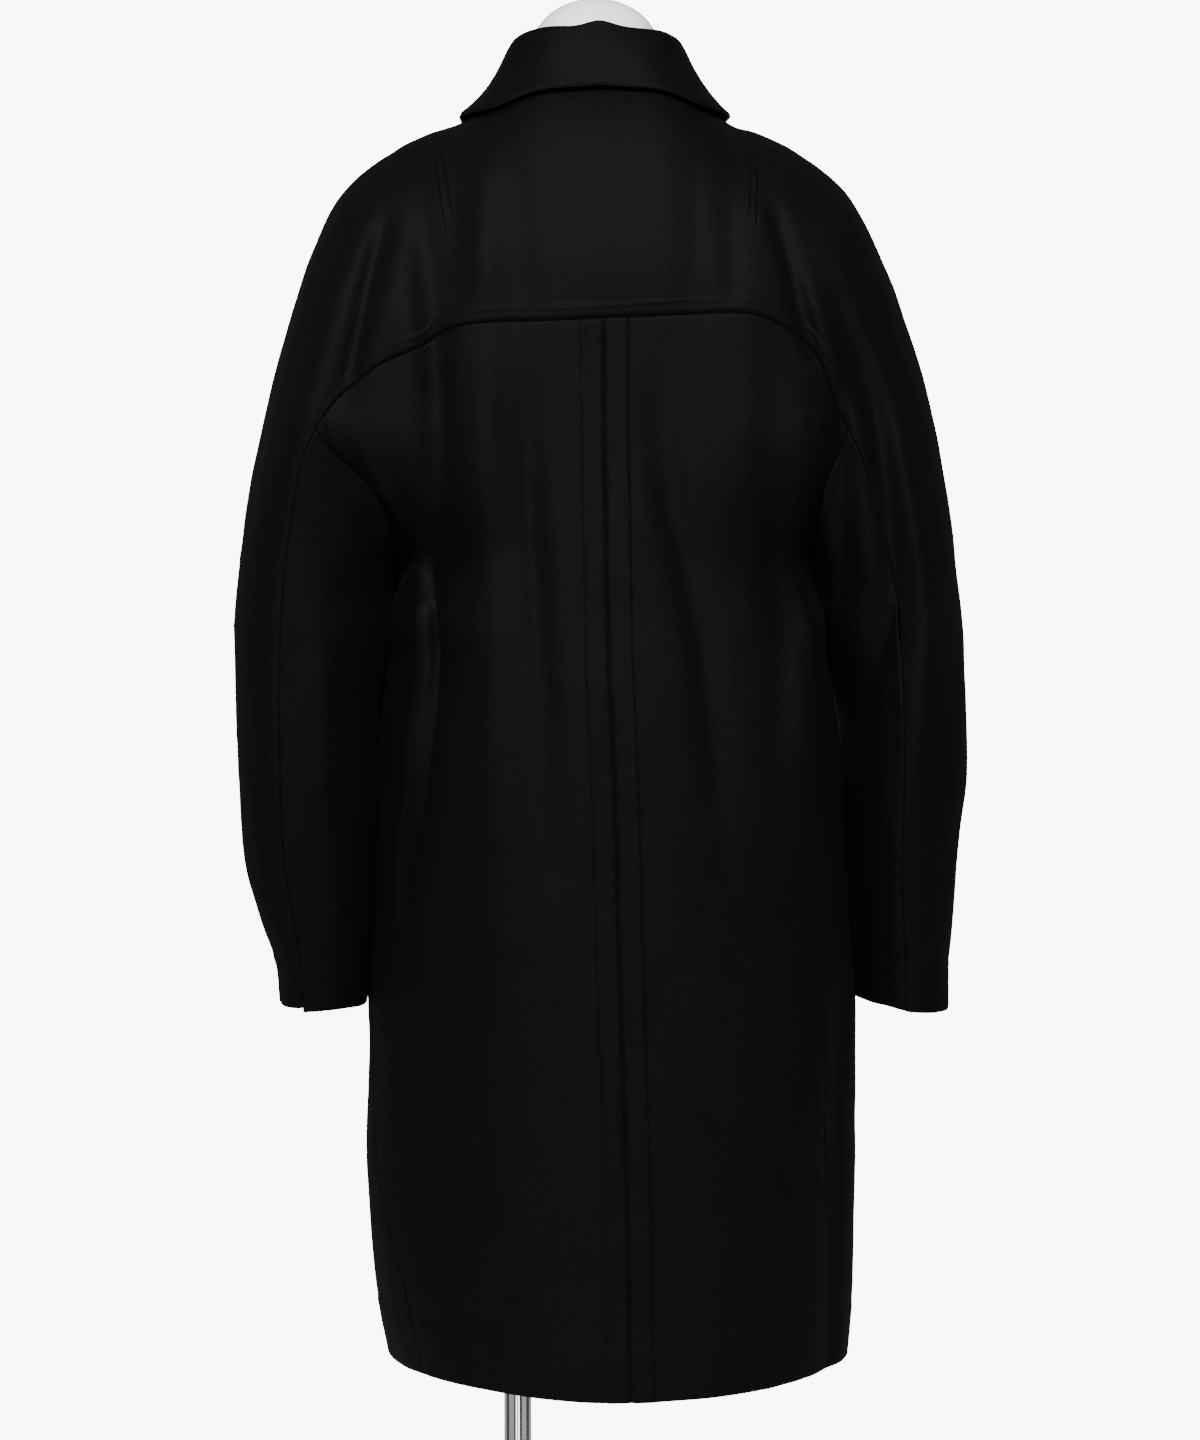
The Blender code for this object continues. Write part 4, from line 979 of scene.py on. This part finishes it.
def takeCoat():
    neckStop = stationAbove(neckSizes["halfX"])
    slope = np.linspace(neckStop, armholeStation, gridSteps["shoulder"])[1:]
    shoulder = np.concatenate((np.linspace(0, neckStop, gridSteps["neck"]), slope))
    arm = np.linspace(armholeStation, lastStation, gridSteps["arm"])[1:]
    turns, armhole = np.linspace(0, 1, gridSteps["turn"]), np.linspace(0, 1, gridSteps["armhole"])
    upper = underarmZ + (armholeTopZ - underarmZ) * armhole[1:]
    skirt = np.linspace(hemZ, underarmZ, gridSteps["skirt"])
    rises = (np.concatenate((skirt, upper)) - hemZ) / (armholeTopZ - hemZ)
    half = np.concatenate((-np.concatenate((shoulder, arm))[:0:-1], shoulder, arm))
    edges = (cuffEdge, cuffEdge, pressedSeam, sewnEdge)
    takeSheet("back_yoke_and_sleeves", backYoke, half, turns, -1, clothThick, edges)
    wrap = np.linspace(-wrapStop, 0, gridSteps["wrap"])[:-1]
    for side, word in ((1, "left"), (-1, "right")):
        under = underlap if side > 0 else None
        name, stops = f"front_yoke_and_sleeve_{word}", np.concatenate((wrap, shoulder, arm))
        edges = (plainEdge, cuffEdge, pressedSeam, sewnEdge)
        takeSheet(name, frontYoke(side), stops, turns, side, clothThick, edges, under)
        front = np.concatenate((wrap, shoulder))
        for back, place, stops in ((True, "back", shoulder), (False, "front", front)):
            shares = [stationShare(side, back, u) for u in stops]
            edges = (centreSeam if back else plainEdge, sewnEdge, hemEdge, yokeSeam)
            name, outward, sunk = f"{place}_{word}", -side if back else side, None if back else under
            takeSheet(name, bodyPanel(side, back), shares, rises, outward, clothThick, edges, sunk)
        name, halves = f"under_sleeve_{word}", np.concatenate((armhole / 2, 0.5 + armhole[1:] / 2))
        edges = (sewnEdge, sewnEdge, cuffEdge, sewnEdge)
        takeSheet(name, underSleeve(side), halves, np.linspace(0, 1, 18), side, clothThick, edges)
    thick, edges = collarSizes["cloth"], (plainEdge, plainEdge, sewnEdge, plainEdge)
    takeSheet("collar_stand", collarStand, np.linspace(0, 1, 49), np.linspace(0, 1, 4), 1, thick, edges)
    edges = (plainEdge,) * 4
    takeSheet("collar", collarFall, np.linspace(0, 1, 61), np.linspace(0, 1, 21), -1, thick, edges)


def settle(piece, node):
    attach(piece, "root")
    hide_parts(node)


takeCoat()
print("cloth taken from the form")
for sheet in list(sheets.values()):
    piece, area = buildSheet(sheet, wool)
    across, along = runs(sheet.points)[:, -1].max(), runs(sheet.points.transpose(1, 0, 2))[:, -1].max()
    settle(piece, sheet.name)
    flat = (round(float(across), 2), round(float(along), 2))
    print("cloth", piece.name, "cut", flat, "area", round(area, 4), "triangles", 2 * len(piece.data.polygons))

# Dress form, pole and base
FormLevel = namedtuple("FormLevel", "z halfWidth back front middleY")
formLevels = rowsOf(
    FormLevel,
    (0.735, 0.125, 0.092, -0.088, 0),
    (0.74, 0.133, 0.099, -0.095, 0),
    (0.79, 0.143, 0.11, -0.1, 0.002),
    (0.87, 0.146, 0.113, -0.098, 0.003),
    (0.95, 0.128, 0.096, -0.092, 0),
    (1.02, 0.116, 0.083, -0.088, -0.004),
    (1.09, 0.122, 0.086, -0.098, -0.006),
    (1.16, 0.132, 0.088, -0.118, -0.008),
    (1.21, 0.138, 0.088, -0.118, -0.008),
    (1.26, 0.146, 0.086, -0.098, -0.008),
    (1.3, 0.156, 0.08, -0.084, -0.009),
    (1.33, 0.162, 0.068, -0.072, -0.01),
)
formSizes = {
    "shoulderX": (0.142, 0.134, 0.125, 0.113, 0.100),
    "shoulderDepths": (0.044, 0.038, 0.034, 0.031, 0.029),
    "seatGap": 0.0014,
    "roundness": 2.15,
    "neckRadius": 0.050,
    "neckY": -0.012,
    "domeZ": 1.456,
    "topZ": 1.495,
}
NeckLevel = namedtuple("NeckLevel", "z halfWidth depth")
neckLevels = rowsOf(
    NeckLevel,
    (1.401, 0.08, 0.032),
    (1.41, 0.063, 0.04),
    (1.422, 0.053, 0.0455),
    (1.44, 0.05, 0.0485),
)
standSizes = {"x": 0.063, "y": -0.004, "radius": 0.011, "baseRadius": 0.17, "baseThick": 0.008, "gap": 0.0003}
standSizes.update(socketHeight=0.034, flangeHeight=0.022)


def circle(count):
    turns = [2 * pi * i / count for i in range(count)]
    return [(cos(turn), sin(turn)) for turn in turns]


def formRing(z, halfWidth, back, front, middleY, segments):
    ring = []
    for cosine, sine in circle(segments):
        depth = back - middleY if cosine > 0 else middleY - front
        x = halfWidth * power(sine, 2 / formSizes["roundness"])
        ring.append((x, middleY + depth * power(cosine, 2 / formSizes["roundness"]), z))
    return ring


def formRings(segments):
    rings = [formRing(*level, segments) for level in formLevels]
    for x, depth in zip(formSizes["shoulderX"], formSizes["shoulderDepths"]):
        u = stationAbove(x)
        here, there = station(u + 0.1), station(u - 0.1)
        slope = math.atan2(there[1] - here[1], here[0] - there[0])
        z = station(u)[1] - (0.0022 + formSizes["seatGap"]) / cos(slope)
        rings.append(formRing(z, x, depth - 0.010, -depth - 0.010, -0.010, segments))
    neckY = formSizes["neckY"]
    for z, halfWidth, depth in neckLevels:
        rings.append(formRing(z, halfWidth, neckY + depth, neckY - depth, neckY, segments))
    height = formSizes["topZ"] - formSizes["domeZ"]
    for degrees in (0, 9, 18, 27, 36, 45, 54, 62, 70, 78, 84):
        radius = formSizes["neckRadius"] * cos(radians(degrees))
        z = formSizes["domeZ"] + height * sin(radians(degrees))
        rings.append(formRing(z, radius, neckY + 0.97 * radius, neckY - 0.97 * radius, neckY, segments))
    return rings


# A closed solid through rings of points, with a point at each end
def lathe(name, rings, ends, material):
    segments = len(rings[0])
    points = [ends[0]] + [p for ring in rings for p in ring] + [ends[1]]
    faces, top = [], 1 + (len(rings) - 1) * segments
    for i in range(segments):
        j = (i + 1) % segments
        faces += [(0, 1 + j, 1 + i), (top + i, top + j, len(points) - 1)]
        for k in range(len(rings) - 1):
            low, high = 1 + k * segments, 1 + (k + 1) * segments
            faces.append((low + i, low + j, high + j, high + i))
    made = meshFrom(name, points, faces, material)
    made.data.set_sharp_from_angle(angle=radians(50))
    return made


def turned(name, profile, material, centre=(0, 0), segments=96):
    ways, (x, y) = circle(segments), centre
    rings = [[(x + r * cosine, y + r * sine, z) for cosine, sine in ways] for r, z in profile]
    return lathe(name, rings, ((*centre, profile[0][1]), (*centre, profile[-1][1])), material)


def makeStand():
    rings = [ring[::-1] for ring in formRings(96)]
    ends = ((0, 0, rings[0][0][2]), (0, formSizes["neckY"], formSizes["topZ"]))
    settle(lathe("dress_form_shell", rings, ends, formShell()), "dress_form")
    chrome = steel("chrome_tube", "#b4b7bb", 0.10, (1, 1, 0.02))
    plate = steel("brushed_plate", "#8d9094", 0.28, (0.02, 1, 1))
    r, thick, gap = standSizes["baseRadius"], standSizes["baseThick"], standSizes["gap"]
    rim = [(r - 0.0015, 0), (r - 0.0004, 0.0004), (r, 0.0015)]
    rim += [(r, thick - 0.003), (r - 0.0009, thick - 0.0009), (r - 0.003, thick)]
    settle(turned("base_plate_disc", rim, plate, segments=160), "base_plate")
    centre = (standSizes["x"], standSizes["y"])
    low = thick + gap
    high = low + standSizes["socketHeight"]
    socket = [(0.0297, low), (0.030, low + 0.0004), (0.030, low + 0.0045), (0.0295, low + 0.005)]
    socket += [(0.0185, low + 0.0075), (0.0175, low + 0.009), (0.0165, high - 0.001), (0.0158, high)]
    settle(turned("pole_socket_cup", socket, chrome, centre), "pole_socket")
    formLow = formLevels[0].z
    flangeLow = formLow - gap - standSizes["flangeHeight"]
    tube = [(standSizes["radius"], high + gap), (standSizes["radius"], flangeLow - gap)]
    settle(turned("pole_tube", tube, chrome, centre), "pole")
    flange = [(0.0158, flangeLow), (0.0165, flangeLow + 0.0008), (0.0175, flangeLow + 0.014)]
    flange += [(0.0315, flangeLow + 0.0165), (0.032, flangeLow + 0.0172), (0.032, formLow - gap)]
    settle(turned("pole_flange_cup", flange, chrome, centre), "pole_flange")


makeStand()
print("stand ready")


threadSizes = {"radius": 0.00032, "sides": 10}


# Sewing thread: a tube along a path of edges
def threadTree(material):
    tree = bpy.data.node_groups.new("thread_along_path", "GeometryNodeTree")
    rows = (("Geometry", "Geometry", "INPUT"), ("Strand radius", "Float", "INPUT"), ("Sides", "Int", "INPUT"))
    made = []
    for name, kind, way in (*rows, ("Geometry", "Geometry", "OUTPUT")):
        made.append(tree.interface.new_socket(name, in_out=way, socket_type="NodeSocket" + kind))
    given = tree.nodes.new("NodeGroupInput").outputs
    path = add(tree, "GeometryNodeMeshToCurve", {"Mesh": given["Geometry"]}).outputs["Curve"]
    facts = {"Resolution": given["Sides"], "Radius": given["Strand radius"]}
    ring = add(tree, "GeometryNodeCurvePrimitiveCircle", facts).outputs["Curve"]
    tube = add(tree, "GeometryNodeCurveToMesh", {"Curve": path, "Profile Curve": ring, "Fill Caps": True})
    smoothed = add(tree, "GeometryNodeSetShadeSmooth", {"Geometry": tube.outputs["Mesh"]})
    real = add(tree, "GeometryNodeRealizeInstances", {"Geometry": smoothed.outputs["Geometry"]})
    done = add(tree, "GeometryNodeSetMaterial", {"Geometry": real.outputs["Geometry"], "Material": material})
    tree.links.new(done.outputs["Geometry"], tree.nodes.new("NodeGroupOutput").inputs["Geometry"])
    return tree, made[1].identifier, made[2].identifier


def strand(name, spots, tree, radiusSocket, sidesSocket):
    path = bpy.data.meshes.new("thread_path")
    path.from_pydata([tuple(p) for p in spots], [(i, i + 1) for i in range(len(spots) - 1)], [])
    raw = linked("thread_raw", path)
    modifier = raw.modifiers.new("thread", "NODES")
    modifier.node_group = tree
    modifier[radiusSocket] = threadSizes["radius"]
    modifier[sidesSocket] = threadSizes["sides"]
    mesh = bpy.data.meshes.new_from_object(raw.evaluated_get(bpy.context.evaluated_depsgraph_get()))
    bpy.data.objects.remove(raw)
    return linked(name, mesh)


# A button: rim and dish are points of its profile, as shares of the radius and heights
buttonSizes = {
    "radius": 0.014,
    "well": 0.0028,
    "hole": 0.0023,
    "strands": (-0.00035, 0.00035),
    "rim": ((0.80, 0.0), (0.95, 0.0004), (1.0, 0.0012), (1.0, 0.0032), (0.985, 0.0038), (0.94, 0.0042)),
    "dish": ((0.90, 0.0042), (0.84, 0.0041), (0.78, 0.0038), (0.72, 0.0032), (0.66, 0.0028), (0.3, 0.0028)),
}


# Buttons: each new one lies exactly where its solid does
def makeButtons():
    hornBlack, strands = horn(), threadTree(thread())
    for number in range(1, 5):
        node = nodes[f"button_{number}"]
        corners = np.array([node.matrix_world @ Vector(v.co) for v in node.data.vertices])
        middle = corners.mean(axis=0)
        _, _, axes = np.linalg.svd(corners - middle)
        normal = axes[2] * (-1 if axes[2][1] > 0 else 1)
        heights = (corners - middle) @ normal
        base = middle + normal * heights.min()
        side = unit(np.cross(normal, (0, 0, 1.0)))
        up = np.cross(side, normal)
        ways = [side * cosine + up * sine for cosine, sine in circle(96)]
        rings = []
        for share, height in buttonSizes["rim"] + buttonSizes["dish"]:
            centre, reach = base + normal * height, buttonSizes["radius"] * share
            rings.append([tuple(centre + reach * way) for way in ways])
        ends = (tuple(base), tuple(base + normal * buttonSizes["well"]))
        made = lathe(f"button_{number}_horn", rings, ends, hornBlack)
        if made.data.polygons[1].normal.dot(Vector(normal)) < 0:
            made.data.flip_normals()
        settle(made, f"button_{number}")
        seat = base + normal * (buttonSizes["well"] + 0.0001)
        holes = [seat + buttonSizes["hole"] * (a * side + b * up) for a in (-1, 1) for b in (-1, 1)]
        for index, (one, other) in enumerate(((0, 3), (1, 2))):
            for offset in buttonSizes["strands"]:
                across = unit(np.cross(holes[other] - holes[one], normal))
                spots = []
                for t in np.linspace(0, 1, 15):
                    rise = normal * (0.0010 * sin(pi * t) ** 0.5 - 0.0006 + 0.0003 * index)
                    spots.append(holes[one] + (holes[other] - holes[one]) * t + rise + across * offset)
                mark = "a" if offset < 0 else "b"
                made = strand(f"button_{number}_thread_{index}_{mark}", spots, *strands)
                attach(made, "root")


makeButtons()
print("buttons ready")


# Floor, air and light: white to the camera, dim to the cloth, with one broad light high behind the camera
studioSizes = {"floorRadius": 1.22, "white": 9.0, "fill": 0.11}
# A lamp: its name, place, aim, size and watts
lamps = (
    ("key_soft", (0.10, 2.4, 3.3), (0, 0, 1.2), (0.9, 0.7), 50),
    ("camera_soft", (0.5, 3.8, 1.7), (0, 0, 1.0), (0.8, 0.8), 24),
    ("front_soft", (0.0, -3.0, 1.3), (0, 0, 1.0), (0.45, 0.6), 34),
    ("side_soft", (3.2, 0.2, 2.2), (0, 0, 0.9), (1.2, 1.6), 4),
)
# Lamps that light only the form and its stand: a soft one over the neck, and panels that the chrome mirrors
poleAim = (0.063, 0, 0.34)
standLamps = (
    ("neck_soft", (0.2, 1.6, 2.9), (0, 0, 1.48), (0.9, 0.9), 110),
    ("stripe_left", (0.280, 1.0, 0.20), poleAim, (0.16, 0.5), 2.2),
    ("stripe_right", (-0.070, 1.0, 0.20), poleAim, (0.16, 0.5), 2.2),
    ("panel_left", (1.05, 0.65, 0.30), poleAim, (1.0, 0.7), 1.3),
    ("panel_right", (-0.90, 0.70, 0.30), poleAim, (0.9, 0.7), 1.3),
    ("panel_front_left", (0.9, -0.8, 0.30), poleAim, (1.0, 0.7), 1.3),
    ("panel_front_right", (-0.8, -0.8, 0.30), poleAim, (1.0, 0.7), 1.3),
)
standPieces = ("dress_form_shell", "base_plate_disc", "pole_socket_cup", "pole_tube", "pole_flange_cup")


def makeStudio():
    pale, tree = newMaterial("pale_floor", roughness=0.8)
    patches = noise(tree, (1, 1, 1), 6, 3, 0.5)
    base = mixed(tree, patches, "#e6e6e5", "#efefee")
    tree.links.new(base, tree.nodes["Principled BSDF"].inputs["Base Color"])
    radius = studioSizes["floorRadius"]
    ring = [(radius * cosine, radius * sine, 0) for cosine, sine in circle(128)]
    meshFrom("studio_floor", ring, [list(range(128))], pale)
    world = bpy.data.worlds.new("studio_air")
    world.use_nodes = True
    air = world.node_tree
    output = air.nodes["World Output"]
    seen = add(air, "Background", {"Color": colour("#ffffff"), "Strength": studioSizes["white"]})
    fill = add(air, "Background", {"Color": colour("#f2f5fa"), "Strength": studioSizes["fill"]})
    path = add(air, "LightPath")
    both = add(air, "MixShader", {0: path.outputs["Is Camera Ray"], 1: fill.outputs[0], 2: seen.outputs[0]})
    air.links.new(both.outputs[0], output.inputs["Surface"])
    scene.world = world
    standLit = bpy.data.collections.new("stand_lit")
    for name in standPieces:
        standLit.objects.link(bpy.data.objects[name])
    for name, place, aim, size, watts in lamps + standLamps:
        data = bpy.data.lights.new(name, "AREA")
        data.shape = "RECTANGLE"
        data.size = size[0]
        data.size_y = size[1]
        data.energy = watts
        lamp = linked(name, data)
        lamp.location = place
        lamp.rotation_euler = (Vector(aim) - Vector(place)).to_track_quat("-Z", "Y").to_euler()
        lamp.visible_camera = False
        if any(name == row[0] for row in standLamps):
            lamp.light_linking.receiver_collection = standLit


makeStudio()
print("studio ready")
